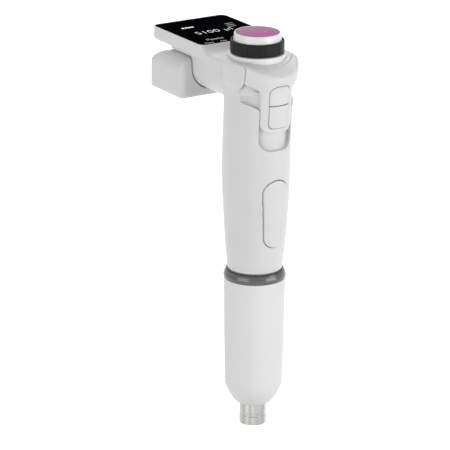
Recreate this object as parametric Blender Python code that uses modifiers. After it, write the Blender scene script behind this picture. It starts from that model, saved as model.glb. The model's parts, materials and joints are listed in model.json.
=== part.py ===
# Electronic pipette with a dial on top, a flat display behind it and a thumb ejector.
# It stands upright along Z. The keys face -Y and the display reaches back along +Y.
# The origin is the middle of the flat underside of the battery housing, by which it hangs.

import math

import bmesh
import bpy
from mathutils import Vector

# Driving dimensions in metres. Heights are measured up from the open end of the nozzle.
REST_GAP = 0.0003
RUN_GAP = 0.0002
SHADOW_GAP = 0.0004

NOZZLE_RADIUS = 0.00845
NOZZLE_BORE = 0.0030
NOZZLE_SHOULDER = 0.0260
NOZZLE_GROOVE_LOW = 0.0055
NOZZLE_GROOVE_HIGH = 0.0080
NOZZLE_GROOVE_DEPTH = 0.00022
SPIGOT_RADIUS = 0.0062
SPIGOT_LENGTH = 0.0085

PISTON_BORE = 0.0096
CYLINDER_RADIUS = 0.0120
CYLINDER_FLOOR = 0.0095
FLANGE_RADIUS = 0.0165
FLANGE_THICKNESS = 0.0038

PISTON_STROKE = 0.036
PISTON_HEAD = 0.009
PISTON_START = 0.0365
ROD_RADIUS = 0.0040
ROD_TOP = 0.1177
SEAL_DEPTH = 0.0020
SEAL_HEIGHT = 0.0026

SLEEVE_RIM = 0.0140
SLEEVE_RIM_RADIUS = 0.0095
SLEEVE_RIM_WALL = 0.0006
SLEEVE_SHOULDER = NOZZLE_SHOULDER
SLEEVE_SHOULDER_RADIUS = 0.01765
SLEEVE_TOP = 0.0958
SLEEVE_TOP_RADIUS = 0.0189
SLEEVE_WALL = 0.0016
SLEEVE_LEDGE = 0.0880
SLEEVE_LEDGE_THICKNESS = 0.0030

COLLAR_RADIUS = 0.0192
COLLAR_LIP = 0.0016

GRIP_BOTTOM = 0.1022
GRIP_TOP = 0.2310
GRIP_WALL = 0.0017

HOUSING_FRONT = 0.0424
HOUSING_BACK = 0.0804
HOUSING_BOTTOM = 0.2010
HOUSING_TOP = 0.2262
HOUSING_HALF_WIDTH = 0.0275
HOUSING_WALL = 0.0022
HOUSING_SIDE_ROUND = 0.0090
HOUSING_BACK_ROUND = 0.0160
HOUSING_FRONT_ROUND = 0.0028
HOUSING_BOTTOM_ROUND = 0.0025
HOUSING_CORNER_ROUND = 0.0050

NECK_HALF_WIDTH = 0.0189
NECK_BOTTOM = 0.2057
NECK_ROUND = 0.0145
TAIL_BACK = 0.0670
TAIL_BOTTOM = HOUSING_TOP + REST_GAP

COVER_HALF_WIDTH = 0.0263
COVER_BACK = 0.0790
COVER_TOP = 0.2399
# Cutters that are open above or in front reach this far.
OVERHEAD = COVER_TOP + 0.0200
AHEAD = -0.0500
COVER_CORNER = 0.0045
COVER_WALL = 0.0017
PLATEAU_HEIGHT = 0.2352
DISPLAY_FRONT = 0.0215
RAMP_FOOT = 0.0187
COVER_RIM = 0.0009
SLAB_BACK_ROUND = 0.0078
GLASS_HALF_WIDTH = COVER_HALF_WIDTH - COVER_RIM
GLASS_FRONT = DISPLAY_FRONT + 0.0006
GLASS_BACK = COVER_BACK - 0.0012
GLASS_THICKNESS = 0.0012
GLASS_CORNER = 0.0035
GLASS_LEDGE = 0.0018
PANEL_THICKNESS = 0.0022
CABLE_WAY = 0.0160
CABLE_WAY_FRONT = 0.0240
CABLE_WAY_BACK = 0.0380

SLIDER_TRAVEL = 0.0112
SLIDER_SKIN = 0.0026
RECESS_DEPTH = 0.0029
RECESS_FLOOR = 0.0014
SHELF_INNER_RADIUS = 0.0205
SHELF_HEIGHT = 0.2343
SHELF_SLOPE = 0.97
SHELF_THICKNESS = 0.0022
TONGUE_HALF_WIDTH = 0.0109
TONGUE_BOTTOM = 0.1935
WING_HALF_WIDTH = 0.0186
WING_BOTTOM = 0.2236
WING_ROOT = 0.2195
LEDGE_LEVEL = 0.2150
SHELF_CONE_REACH = 0.0450
SHELF_CONE_FLAT = 0.0195

KEY_HALF_WIDTH = 0.0068
KEY_TOP = 0.2230
KEY_SPLIT = 0.2104
KEY_BOTTOM = 0.1960
KEY_POCKET = 0.0018
KEY_PROUD = 0.0002
KEY_INNER = 0.0011

RELEASE_TOP = 0.1636
RELEASE_BOTTOM = 0.1198
RELEASE_TOP_RADIUS = 0.0088
RELEASE_BOTTOM_RADIUS = 0.0072
RELEASE_PROUD = 0.0006
RELEASE_DEPTH = 0.0032

EJECTOR_ROD_RADIUS = 0.0011
EJECTOR_ROD_OFFSET = 0.0138
EJECTOR_HOLE = 0.00135
YOKE_BOTTOM = 0.2064
YOKE_THICKNESS = 0.0030
BOSS_HALF_WIDTH = 0.0026
SPRING_COIL_RADIUS = 0.00195
SPRING_WIRE_RADIUS = 0.00032
SPRING_TURNS = 8

BASE_PLATE_RADIUS = 0.0146
PLATE_THICKNESS = 0.0030
GUIDE_SEAT_RADIUS = 0.0066
GUIDE_COLLAR_WALL = 0.0018
GUIDE_COLLAR_HEIGHT = 0.0022
GUIDE_ROD_RADIUS = 0.00125
GUIDE_ROD_OFFSET = 0.0080
NUT_HEIGHT = 0.0080
NUT_HUB_RADIUS = 0.0062
NUT_END_RADIUS = 0.0030
SCREW_RADIUS = 0.0020
SCREW_BOTTOM = 0.1120
MOTOR_PLATE_BOTTOM = 0.1670
MOTOR_RADIUS = 0.0095
MOTOR_LENGTH = 0.0277
MOTOR_BOSS_RADIUS = 0.0050
SCREW_SOCKET = 0.0060

BOARD_BACK = 0.0141
BOARD_THICKNESS = 0.0012
BOARD_HALF_WIDTH = 0.0100
BOARD_BOTTOM = 0.1380
BOARD_TOP = 0.2220

KNOB_RADIUS = 0.0163
KNOB_BOTTOM = PLATEAU_HEIGHT + 0.0027
KNOB_HEIGHT = 0.0078
KNOB_TOP = KNOB_BOTTOM + KNOB_HEIGHT
KNOB_GROOVES = 10
HUB_RADIUS = 0.0128
HUB_BORE = 0.0103
HUB_TOP = KNOB_TOP - 0.0031
HUB_BOTTOM = GRIP_TOP - 0.0014
KNOB_FLANGE_RADIUS = 0.0174
CAP_BOTTOM = HUB_TOP + 0.0011
CAP_HEIGHT = 0.0063
CAP_TOP = CAP_BOTTOM + CAP_HEIGHT
CAP_BOTTOM_RADIUS = 0.0148
CAP_TOP_RADIUS = 0.0139
CAP_STEM_BOTTOM = PLATEAU_HEIGHT + 0.0008
CAP_TRAVEL = 0.0008
INSERT_RADIUS = 0.0125
INSERT_THICKNESS = 0.0009
INSERT_SUNK = 0.0003
DIAL_BOARD_THICKNESS = 0.0016
SWITCH_HALF_WIDTH = 0.0031
SWITCH_HEIGHT = 0.0033

BATTERY_MARGIN = 0.0012
BATTERY_HEIGHT = 0.0125

# Height, half width, front reach and back reach of the grip at each of its sections.
GRIP_STATIONS = (
    (0.1022, 0.0169, 0.0169, 0.0169),
    (0.1100, 0.0171, 0.0190, 0.0190),
    (0.1220, 0.0175, 0.0214, 0.0214),
    (0.1340, 0.0179, 0.0228, 0.0228),
    (0.1500, 0.0188, 0.0238, 0.0238),
    (0.1700, 0.0194, 0.0240, 0.0238),
    (0.1900, 0.0195, 0.0243, 0.0220),
    (0.2060, 0.0198, 0.0255, 0.0204),
    (0.2185, 0.0205, 0.0261, 0.0200),
    (0.2240, 0.0222, 0.0286, 0.0200),
    (0.2310, 0.0229, 0.0290, 0.0200),
)

# Base colour, roughness and metallic value of each material.
FINISHES = {
    "white_shell": ((0.62, 0.62, 0.63), 0.42, 0.0),
    "white_trim": ((0.72, 0.72, 0.73), 0.38, 0.0),
    "dark_ring": ((0.035, 0.036, 0.04), 0.40, 0.0),
    "collar_grey": ((0.07, 0.07, 0.075), 0.22, 0.0),
    "black_glass": ((0.004, 0.004, 0.005), 0.08, 0.0),
    "pink_insert": ((0.46, 0.13, 0.34), 0.30, 0.0),
    "nozzle_steel": ((0.60, 0.59, 0.57), 0.20, 1.0),
    "rod_steel": ((0.55, 0.55, 0.56), 0.25, 1.0),
    "brass": ((0.72, 0.50, 0.22), 0.30, 1.0),
    "grey_plastic": ((0.30, 0.31, 0.33), 0.50, 0.0),
    "aluminium": ((0.66, 0.67, 0.68), 0.35, 1.0),
    "board_green": ((0.03, 0.18, 0.09), 0.45, 0.0),
    "seal_rubber": ((0.02, 0.02, 0.02), 0.70, 0.0),
    "battery_wrap": ((0.05, 0.16, 0.38), 0.40, 0.0),
}

ROUND_STEPS = 32
INNER_STEPS = 20
HOLE_STEPS = 12
SECTION_POINTS = 36
CORNER_STEPS = 5
NECK_STEPS = 9
# No section of the grip lies closer to its end than this.
LEVEL_MARGIN = 0.0008
# How far a cutter runs past what it cuts.
OVERRUN = 0.002
# Round cutters are turned a little, so that their edges miss those of what they cut.
CUTTER_TURN = math.radians(3.7)

for leftover in list(bpy.data.objects):
    bpy.data.objects.remove(leftover)

partsCollection = bpy.data.collections.new("electronic_pipette")
cutterCollection = bpy.data.collections.new("pipette_cutters")
bpy.context.scene.collection.children.link(partsCollection)
bpy.context.scene.collection.children.link(cutterCollection)

# The pipette's own axis runs up from the middle of the nozzle's end.
pipetteAxis = bpy.data.objects.new("pipette_axis", None)
pipetteAxis.location = (0, -(HOUSING_FRONT + HOUSING_BACK) / 2, -HOUSING_BOTTOM)
partsCollection.objects.link(pipetteAxis)
bpy.context.view_layer.update()


def make_material(name):
    color, roughness, metallic = FINISHES[name]
    material = bpy.data.materials.new(name)
    material.use_nodes = True
    shader = material.node_tree.nodes["Principled BSDF"]
    shader.inputs["Base Color"].default_value = (*color, 1)
    shader.inputs["Roughness"].default_value = roughness
    shader.inputs["Metallic"].default_value = metallic
    return material


MATERIALS = {name: make_material(name) for name in FINISHES}


# Puts a mesh in the scene as a part with a material, or as a hidden cutter without one.
def place(name, mesh, finish, location=(0, 0, 0), rotation=(0, 0, 0)):
    item = bpy.data.objects.new(name, mesh)
    item.parent = pipetteAxis
    item.location = location
    item.rotation_euler = rotation
    if finish is None:
        cutterCollection.objects.link(item)
        item.hide_render = True
        item.display_type = "WIRE"
    else:
        partsCollection.objects.link(item)
        mesh.materials.append(MATERIALS[finish])
    return item


def combine(target, other, operation):
    boolean = target.modifiers.new(other.name, "BOOLEAN")
    boolean.operation = operation
    boolean.object = other
    boolean.solver = "EXACT"
    return target


def cut(target, *cutters):
    for cutter in cutters:
        combine(target, cutter, "DIFFERENCE")
    return target


def join(target, *others):
    for other in others:
        combine(target, other, "UNION")
    return target


def keep_inside(target, other):
    return combine(target, other, "INTERSECT")


# Turns a profile of (radius, height) points about the pipette's axis.
# The profile runs down its outer side. A loop profile makes a ring or a tube.
def turned(name, profile, finish, loop=True, location=(0, 0, 0), steps=ROUND_STEPS):
    mesh = bpy.data.meshes.new(name)
    edges = [(i, i + 1) for i in range(len(profile) - 1)]
    if loop:
        edges.append((len(profile) - 1, 0))
    mesh.from_pydata([(radius, 0, height) for radius, height in profile], edges, [])
    item = place(name, mesh, finish, location)
    screw = item.modifiers.new("turn", "SCREW")
    screw.steps = steps
    screw.render_steps = steps
    screw.use_merge_vertices = True
    screw.merge_threshold = 0.00001
    screw.use_smooth_shade = True
    return item


def rod(name, radius, low, high, finish, location=(0, 0, 0), steps=HOLE_STEPS):
    profile = [(0, high), (radius, high), (radius, low), (0, low)]
    item = turned(name, profile, finish, False, location, steps)
    if finish is None:
        item.rotation_euler.z = CUTTER_TURN
    return item


# Rounds each corner (across, along, radius) of an outline.
def rounded(corners, steps=CORNER_STEPS):
    points = []
    count = len(corners)
    for i, (across, along, radius) in enumerate(corners):
        corner = Vector((across, along))
        before = Vector(corners[i - 1][:2]) - corner
        after = Vector(corners[(i + 1) % count][:2]) - corner
        if radius <= 0:
            points.append((across, along))
            continue
        half = before.angle(after) / 2
        reach = radius / math.tan(half)
        start = corner + before.normalized() * reach
        end = corner + after.normalized() * reach
        middle = corner + (before.normalized() + after.normalized()).normalized() * radius / math.sin(half)
        first = start - middle
        turn = first.angle_signed(end - middle)
        for k in range(steps + 1):
            angle = turn * k / steps
            spoke = Vector(
                (
                    first.x * math.cos(angle) + first.y * math.sin(angle),
                    first.y * math.cos(angle) - first.x * math.sin(angle),
                )
            )
            points.append(tuple(middle + spoke))
    return points


# Extrudes a flat outline by half its depth to each side.
# Facing up, the outline lies across X and Y. Facing front, it stands across X and Z.
# Facing side, it stands across Y and Z.
def extruded(name, outline, depth, finish, location=(0, 0, 0), facing="up"):
    curve = bpy.data.curves.new(name, "CURVE")
    curve.dimensions = "2D"
    curve.fill_mode = "BOTH"
    curve.extrude = depth / 2
    spline = curve.splines.new("POLY")
    spline.points.add(len(outline) - 1)
    for point, (across, along) in zip(spline.points, outline):
        point.co = (across, along, 0, 1)
    spline.use_cyclic_u = True
    holder = bpy.data.objects.new(name + "_outline", curve)
    partsCollection.objects.link(holder)
    graph = bpy.context.evaluated_depsgraph_get()
    mesh = bpy.data.meshes.new_from_object(holder.evaluated_get(graph))
    bpy.data.objects.remove(holder)
    solid = bmesh.new()
    solid.from_mesh(mesh)
    bmesh.ops.remove_doubles(solid, verts=solid.verts, dist=0.000001)
    bmesh.ops.recalc_face_normals(solid, faces=solid.faces)
    solid.to_mesh(mesh)
    solid.free()
    turns = {
        "up": (0, 0, 0),
        "front": (math.radians(90), 0, 0),
        "side": (math.radians(90), 0, math.radians(90)),
    }
    return place(name, mesh, finish, location, turns[facing])


def box(name, low, high, finish):
    mesh = bpy.data.meshes.new(name)
    solid = bmesh.new()
    bmesh.ops.create_cube(solid, size=1)
    size = [high[i] - low[i] for i in range(3)]
    bmesh.ops.scale(solid, vec=size, verts=solid.verts)
    solid.to_mesh(mesh)
    solid.free()
    middle = [(high[i] + low[i]) / 2 for i in range(3)]
    return place(name, mesh, finish, middle)


def soften(item, width, segments=2, angle=50):
    bevel = item.modifiers.new("soft_edges", "BEVEL")
    bevel.width = width
    bevel.segments = segments
    bevel.limit_method = "ANGLE"
    bevel.angle_limit = math.radians(angle)
    return item


# Half width, front reach and back reach of the grip at a height, smooth between its stations.
def section_at(height):
    heights = [station[0] for station in GRIP_STATIONS]
    height = min(max(height, heights[0]), heights[-1])
    upper = next(i for i in range(1, len(heights)) if height <= heights[i])
    lower = upper - 1
    span = heights[upper] - heights[lower]
    part = (height - heights[lower]) / span

    def slope(index, column):
        before = max(index - 1, 0)
        after = min(index + 1, len(heights) - 1)
        rise = GRIP_STATIONS[after][column] - GRIP_STATIONS[before][column]
        return rise / (heights[after] - heights[before])

    sizes = []
    for column in (1, 2, 3):
        start = GRIP_STATIONS[lower][column]
        end = GRIP_STATIONS[upper][column]
        rise = (2 * part**3 - 3 * part**2 + 1) * start + (3 * part**2 - 2 * part**3) * end
        lean = (part**3 - 2 * part**2 + part) * slope(lower, column)
        lean += (part**3 - part**2) * slope(upper, column)
        sizes.append(rise + lean * span)
    return sizes


# One level ring of the grip: two half ellipses that share their width.
def grip_ring(height, inset):
    half_width, front, back = (size - inset for size in section_at(height))
    ring = []
    for i in range(SECTION_POINTS):
        angle = 2 * math.pi * i / SECTION_POINTS
        reach = front if math.cos(angle) > 0 else back
        ring.append((half_width * math.sin(angle), -reach * math.cos(angle), height))
    return ring


# The grip's form between two heights, moved in by an inset.
def grip_form(name, finish, low, high, inset=0.0, fine=True):
    heights = [low, high]
    levels = [station[0] for station in GRIP_STATIONS]
    if fine:
        levels += [(a + b) / 2 for a, b in zip(levels, levels[1:])]
    heights += [level for level in levels if low + LEVEL_MARGIN < level < high - LEVEL_MARGIN]
    heights.sort()
    solid = bmesh.new()
    rings = []
    for height in heights:
        rings.append([solid.verts.new(point) for point in grip_ring(height, inset)])
    for lower, upper in zip(rings, rings[1:]):
        for i in range(SECTION_POINTS):
            j = (i + 1) % SECTION_POINTS
            solid.faces.new((lower[i], lower[j], upper[j], upper[i]))
    solid.faces.new(list(reversed(rings[0])))
    solid.faces.new(rings[-1])
    bmesh.ops.recalc_face_normals(solid, faces=solid.faces)
    for face in solid.faces:
        face.smooth = len(face.verts) == 4
    mesh = bpy.data.meshes.new(name)
    solid.to_mesh(mesh)
    solid.free()
    return place(name, mesh, finish)


def mirrored(points):
    return points + [(-across, along, radius) for across, along, radius in reversed(points)]


# The T outline of the ejector slider, grown by a margin and lengthened downwards.
def slider_outline(grow=0.0, down=0.0):
    ceiling = OVERHEAD
    wing = WING_HALF_WIDTH + grow
    side = TONGUE_HALF_WIDTH + grow
    half = [
        (wing, ceiling, 0),
        (wing, WING_BOTTOM - down - grow, 0.0012),
        (side, WING_ROOT - down - grow, 0.0022),
        (side, TONGUE_BOTTOM - down - grow, 0.0060 + grow),
    ]
    return rounded(mirrored(half))


# The outline as a solid that reaches in from the front to a depth near the axis.
def slider_prism(name, grow=0.0, down=0.0, near=-0.0075):
    middle = (near + AHEAD) / 2
    return extruded(name, slider_outline(grow, down), near - AHEAD, None, (0, middle, 0), "front")


# A height clear below the slider's recess.
def recess_bottom():
    return TONGUE_BOTTOM - SLIDER_TRAVEL - 0.0123


# The grip's recess below and behind the slider: what is left standing inside it.
def recess_core(name, inset, wall_radius, step):
    core = grip_form(name, None, recess_bottom() + 0.0023, step, inset)
    join(core, rod(name + "_well", wall_radius, step - 0.006, OVERHEAD, None, steps=ROUND_STEPS))
    return core


# Underside of the thumb shelf at a radius, when the slider is at rest.
def shelf_underside(radius):
    return SHELF_HEIGHT - SHELF_THICKNESS - SHELF_SLOPE * (radius - SHELF_INNER_RADIUS)


def ledge_height():
    reach = section_at(LEDGE_LEVEL)[1] - RECESS_DEPTH
    return shelf_underside(reach) - SLIDER_TRAVEL - REST_GAP


def shelf_cone(name, top_offset):
    far = SHELF_CONE_REACH
    near = SHELF_CONE_FLAT
    slope_at = SHELF_HEIGHT + top_offset
    profile = [
        (0, OVERHEAD),
        (far, OVERHEAD),
        (far, slope_at - SHELF_SLOPE * (far - SHELF_INNER_RADIUS)),
        (near, slope_at - SHELF_SLOPE * (near - SHELF_INNER_RADIUS)),
        (0, slope_at - SHELF_SLOPE * (near - SHELF_INNER_RADIUS)),
    ]
    return turned(name, profile, None, loop=False)


def build_handle_shell():
    shell = grip_form("handle_shell", "white_shell", GRIP_BOTTOM, GRIP_TOP)
    run = HOUSING_FRONT + HOUSING_WALL
    join(shell, neck_form("neck_form", 0, run, GRIP_TOP))
    tail_low = (-NECK_HALF_WIDTH, HOUSING_FRONT - OVERRUN, TAIL_BOTTOM)
    join(shell, box("tail_form", tail_low, (NECK_HALF_WIDTH, TAIL_BACK, GRIP_TOP), None))
    cavity = grip_form("grip_cavity", None, GRIP_BOTTOM - 0.004, GRIP_TOP + 0.004, GRIP_WALL, False)
    join(cavity, neck_form("neck_cavity", GRIP_WALL, run + 0.0005, GRIP_TOP + 0.003))
    tray_half = NECK_HALF_WIDTH - GRIP_WALL
    tray_low = (-tray_half, HOUSING_FRONT - 2 * OVERRUN, TAIL_BOTTOM + GRIP_WALL)
    tray_high = (tray_half, TAIL_BACK - GRIP_WALL, GRIP_TOP + 0.002)
    join(cavity, box("tail_cavity", tray_low, tray_high, None))
    cut(shell, cavity)
    panel = slider_prism("recess_panel", 0.0016, SLIDER_TRAVEL)
    keep_inside(panel, grip_form("panel_limit", None, recess_bottom(), GRIP_TOP - 0.0002, 0.0006))
    step = ledge_height()
    well = SHELF_INNER_RADIUS - 0.0006
    floor = RECESS_FLOOR
    cut(panel, recess_core("recess_inner", RECESS_DEPTH + floor, well - floor, step - floor))
    join(shell, panel)
    pocket = slider_prism("recess_pocket", REST_GAP, SLIDER_TRAVEL)
    cut(pocket, recess_core("recess_outer", RECESS_DEPTH, well, step))
    cut(shell, pocket)
    slot_low = YOKE_BOTTOM - SLIDER_TRAVEL - SHADOW_GAP
    slot_high = YOKE_BOTTOM + YOKE_THICKNESS + SHADOW_GAP
    slot_half = BOSS_HALF_WIDTH + 0.0006
    cut(shell, box("boss_slot", (-slot_half, -0.030, slot_low), (slot_half, -0.016, slot_high), None))
    window = extruded("release_window", release_outline(0), 0.030, None, (0, -0.029, 0), "front")
    cut(shell, window)
    return shell


# The neck from the grip back into the battery housing, as a solid that is round below.
def neck_form(name, inset, run, top):
    half = [
        (NECK_HALF_WIDTH - inset, top, 0),
        (NECK_HALF_WIDTH - inset, NECK_BOTTOM + inset, NECK_ROUND - inset),
    ]
    return extruded(name, rounded(mirrored(half), NECK_STEPS), run, None, (0, run / 2, 0), "front")


# The release button's outline: a wide round top, tapering to a smaller round foot.
def release_outline(inset):
    top = RELEASE_TOP_RADIUS - inset
    foot = RELEASE_BOTTOM_RADIUS - inset
    top_centre = RELEASE_TOP - RELEASE_TOP_RADIUS
    foot_centre = RELEASE_BOTTOM + RELEASE_BOTTOM_RADIUS
    points = []
    for i in range(12):
        angle = math.pi * i / 11
        points.append((top * math.cos(angle), top_centre + top * math.sin(angle)))
    for i in range(12):
        angle = math.pi + math.pi * i / 11
        points.append((foot * math.cos(angle), foot_centre + foot * math.sin(angle)))
    return points


def build_release_button():
    low = RELEASE_BOTTOM - 0.004
    high = RELEASE_TOP + 0.004
    button = grip_form("release_button", "white_shell", low, high, -RELEASE_PROUD)
    outline = release_outline(SHADOW_GAP)
    keep_inside(button, extruded("release_prism", outline, 0.022, None, (0, -0.024, 0), "front"))
    cut(button, grip_form("release_back", None, low - 0.004, high + 0.004, RELEASE_DEPTH))
    return button


def build_slider():
    low = TONGUE_BOTTOM - 0.0085
    slider = grip_form("ejector_slider", "white_shell", low, SHELF_HEIGHT + 0.0042)
    keep_inside(slider, slider_prism("slider_prism"))
    inner = grip_form("slider_inner", None, low - 0.005, SHELF_HEIGHT + 0.0022, SLIDER_SKIN)
    cut(inner, shelf_cone("shelf_underside_cut", -SHELF_THICKNESS))
    cut(slider, inner, shelf_cone("shelf_cut", 0.0))
    low = WING_BOTTOM + 0.0039
    cut(slider, rod("cover_clearance", SHELF_INNER_RADIUS, low, OVERHEAD, None, steps=ROUND_STEPS))
    outline = key_outline(KEY_BOTTOM, KEY_TOP, 0.0)
    pocket = extruded("key_pocket", outline, 0.030, None, (0, -0.030, 0), "front")
    cut(pocket, grip_form("pocket_floor", None, KEY_BOTTOM - 0.016, KEY_TOP + 0.017, KEY_POCKET))
    cut(slider, pocket)
    root = section_at(YOKE_BOTTOM)[1] - SLIDER_SKIN + 0.0004
    low = (-BOSS_HALF_WIDTH, -root, YOKE_BOTTOM)
    high = (BOSS_HALF_WIDTH, -(yoke_front() + REST_GAP), YOKE_BOTTOM + YOKE_THICKNESS)
    boss = box("slider_boss", low, high, None)
    join(slider, boss)
    return slider


def key_outline(low, high, inset):
    top_round = 0.0045 if high > KEY_SPLIT + 0.001 else 0.0002
    foot_round = 0.0030 if low < KEY_SPLIT - 0.001 else 0.0002
    side = KEY_HALF_WIDTH - inset
    half = [(side, high - inset, top_round), (side, low + inset, foot_round)]
    return rounded(mirrored(half))


def build_key(name, low, high):
    key = grip_form(name, "white_shell", KEY_BOTTOM - 0.006, KEY_TOP + 0.007, -KEY_PROUD)
    outline = key_outline(low, high, REST_GAP)
    keep_inside(key, extruded(name + "_prism", outline, 0.022, None, (0, -0.029, 0), "front"))
    cut(key, grip_form(name + "_back", None, KEY_BOTTOM - 0.010, KEY_TOP + 0.011, KEY_INNER))
    return key


# Front reach of the yoke, clear of the recess floor when the slider is fully down.
def yoke_front():
    lowest = section_at(YOKE_BOTTOM - SLIDER_TRAVEL)
    return lowest[1] - RECESS_DEPTH - RECESS_FLOOR - REST_GAP


def build_yoke():
    lowest = section_at(YOKE_BOTTOM - SLIDER_TRAVEL)
    half_width = lowest[0] - RECESS_DEPTH - RECESS_FLOOR - REST_GAP
    middle = YOKE_BOTTOM + YOKE_THICKNESS / 2
    clearance = MOTOR_RADIUS + SHADOW_GAP
    heel = EJECTOR_ROD_RADIUS + 0.0015
    outer = []
    inner = []
    for i in range(20):
        angle = math.pi * i / 19
        outer.append((half_width * math.cos(angle), -yoke_front() * math.sin(angle)))
        inner.append((-clearance * math.cos(angle), -clearance * math.sin(angle)))
    back = [(-half_width, heel), (-clearance, heel)]
    points = outer + back + inner + [(clearance, heel), (half_width, heel)]
    return extruded("ejector_yoke", points, YOKE_THICKNESS, "grey_plastic", (0, 0, middle))


def build_ejector_rods():
    for side, name in ((-1, "left"), (1, "right")):
        at = (side * EJECTOR_ROD_OFFSET, 0, 0)
        low = SLEEVE_LEDGE + SLEEVE_LEDGE_THICKNESS + REST_GAP
        rod("ejector_rod_" + name, EJECTOR_ROD_RADIUS, low, YOKE_BOTTOM - REST_GAP, "rod_steel", at, 16)
        build_spring("ejector_spring_" + name, at)


# A return spring wound round an ejector rod, from the motor plate up to the yoke.
def build_spring(name, at):
    low = MOTOR_PLATE_BOTTOM + PLATE_THICKNESS + REST_GAP + SPRING_WIRE_RADIUS
    high = YOKE_BOTTOM - REST_GAP - SPRING_WIRE_RADIUS
    curve = bpy.data.curves.new(name, "CURVE")
    curve.dimensions = "3D"
    curve.bevel_depth = SPRING_WIRE_RADIUS
    curve.bevel_resolution = 0
    curve.use_fill_caps = True
    spline = curve.splines.new("POLY")
    around = 7
    count = SPRING_TURNS * around
    spline.points.add(count)
    for i, point in enumerate(spline.points):
        angle = 2 * math.pi * i / around
        across = SPRING_COIL_RADIUS * math.cos(angle)
        along = SPRING_COIL_RADIUS * math.sin(angle)
        point.co = (across, along, low + (high - low) * i / count, 1)
    item = bpy.data.objects.new(name, curve)
    item.parent = pipetteAxis
    item.location = at
    partsCollection.objects.link(item)
    curve.materials.append(MATERIALS["rod_steel"])
    return item


# Outer radius of the sleeve: a rounded nose, then a slow flare to its top edge.
def sleeve_radius(height):
    if height < SLEEVE_SHOULDER:
        part = (height - SLEEVE_RIM) / (SLEEVE_SHOULDER - SLEEVE_RIM)
        return SLEEVE_RIM_RADIUS + (SLEEVE_SHOULDER_RADIUS - SLEEVE_RIM_RADIUS) * part**0.62
    part = (height - SLEEVE_SHOULDER) / (SLEEVE_TOP - SLEEVE_SHOULDER)
    return SLEEVE_SHOULDER_RADIUS + (SLEEVE_TOP_RADIUS - SLEEVE_SHOULDER_RADIUS) * part**0.8


def sleeve_wall(height):
    part = min(1, (height - SLEEVE_RIM) / 0.008)
    return SLEEVE_RIM_WALL + (SLEEVE_WALL - SLEEVE_RIM_WALL) * part


def build_sleeve():
    nose = [SLEEVE_RIM + (SLEEVE_SHOULDER - SLEEVE_RIM) * (i / 5) ** 1.4 for i in range(6)]
    body = [SLEEVE_SHOULDER + (SLEEVE_TOP - SLEEVE_SHOULDER) * i / 3 for i in range(1, 4)]
    heights = nose + body
    outer = [(sleeve_radius(h), h) for h in reversed(heights)]
    ledge_low = SLEEVE_LEDGE
    ledge_high = SLEEVE_LEDGE + SLEEVE_LEDGE_THICKNESS
    ledge_radius = CYLINDER_RADIUS + REST_GAP
    inner = [(sleeve_radius(h) - sleeve_wall(h), h) for h in heights if h < ledge_low]
    wall_low = sleeve_radius(ledge_low) - SLEEVE_WALL
    wall_high = sleeve_radius(ledge_high) - SLEEVE_WALL
    inner += [
        (wall_low, ledge_low),
        (ledge_radius, ledge_low),
        (ledge_radius, ledge_high),
        (wall_high, ledge_high),
        (SLEEVE_TOP_RADIUS - SLEEVE_WALL, SLEEVE_TOP),
    ]
    return turned("ejector_sleeve", outer + inner, "white_shell")


def build_nozzle():
    top = NOZZLE_SHOULDER + SPIGOT_LENGTH
    waist = NOZZLE_RADIUS - NOZZLE_GROOVE_DEPTH
    profile = [
        (SPIGOT_RADIUS, top),
        (SPIGOT_RADIUS, NOZZLE_SHOULDER),
        (NOZZLE_RADIUS, NOZZLE_SHOULDER),
        (NOZZLE_RADIUS, NOZZLE_GROOVE_HIGH),
        (waist, NOZZLE_GROOVE_HIGH - 0.0002),
        (waist, NOZZLE_GROOVE_LOW + 0.0002),
        (NOZZLE_RADIUS, NOZZLE_GROOVE_LOW),
        (NOZZLE_RADIUS, 0.0010),
        (NOZZLE_RADIUS - 0.0003, 0.0003),
        (NOZZLE_RADIUS - 0.0010, 0.0),
        (NOZZLE_BORE, 0.0),
        (NOZZLE_BORE, top),
    ]
    return turned("nozzle", profile, "nozzle_steel", steps=INNER_STEPS)


def flange_top():
    return GRIP_BOTTOM - REST_GAP


def build_cylinder():
    low = NOZZLE_SHOULDER + REST_GAP
    top = flange_top()
    under = top - FLANGE_THICKNESS
    socket = SPIGOT_RADIUS + REST_GAP
    profile = [
        (FLANGE_RADIUS, top),
        (FLANGE_RADIUS, under),
        (CYLINDER_RADIUS, under),
        (CYLINDER_RADIUS, low + 0.0020),
        (CYLINDER_RADIUS - 0.0020, low),
        (socket, low),
        (socket, low + CYLINDER_FLOOR - 0.0005),
        (NOZZLE_BORE, low + CYLINDER_FLOOR - 0.0005),
        (NOZZLE_BORE, low + CYLINDER_FLOOR),
        (PISTON_BORE, low + CYLINDER_FLOOR + 0.0003),
        (PISTON_BORE, top),
    ]
    cylinder = turned("cylinder", profile, "white_trim", steps=INNER_STEPS)
    for side in (-1, 1):
        at = (side * EJECTOR_ROD_OFFSET, 0, 0)
        cut(cylinder, rod("flange_hole_%d" % side, EJECTOR_HOLE, under - OVERRUN, top + OVERRUN, None, at))
    return cylinder


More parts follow.
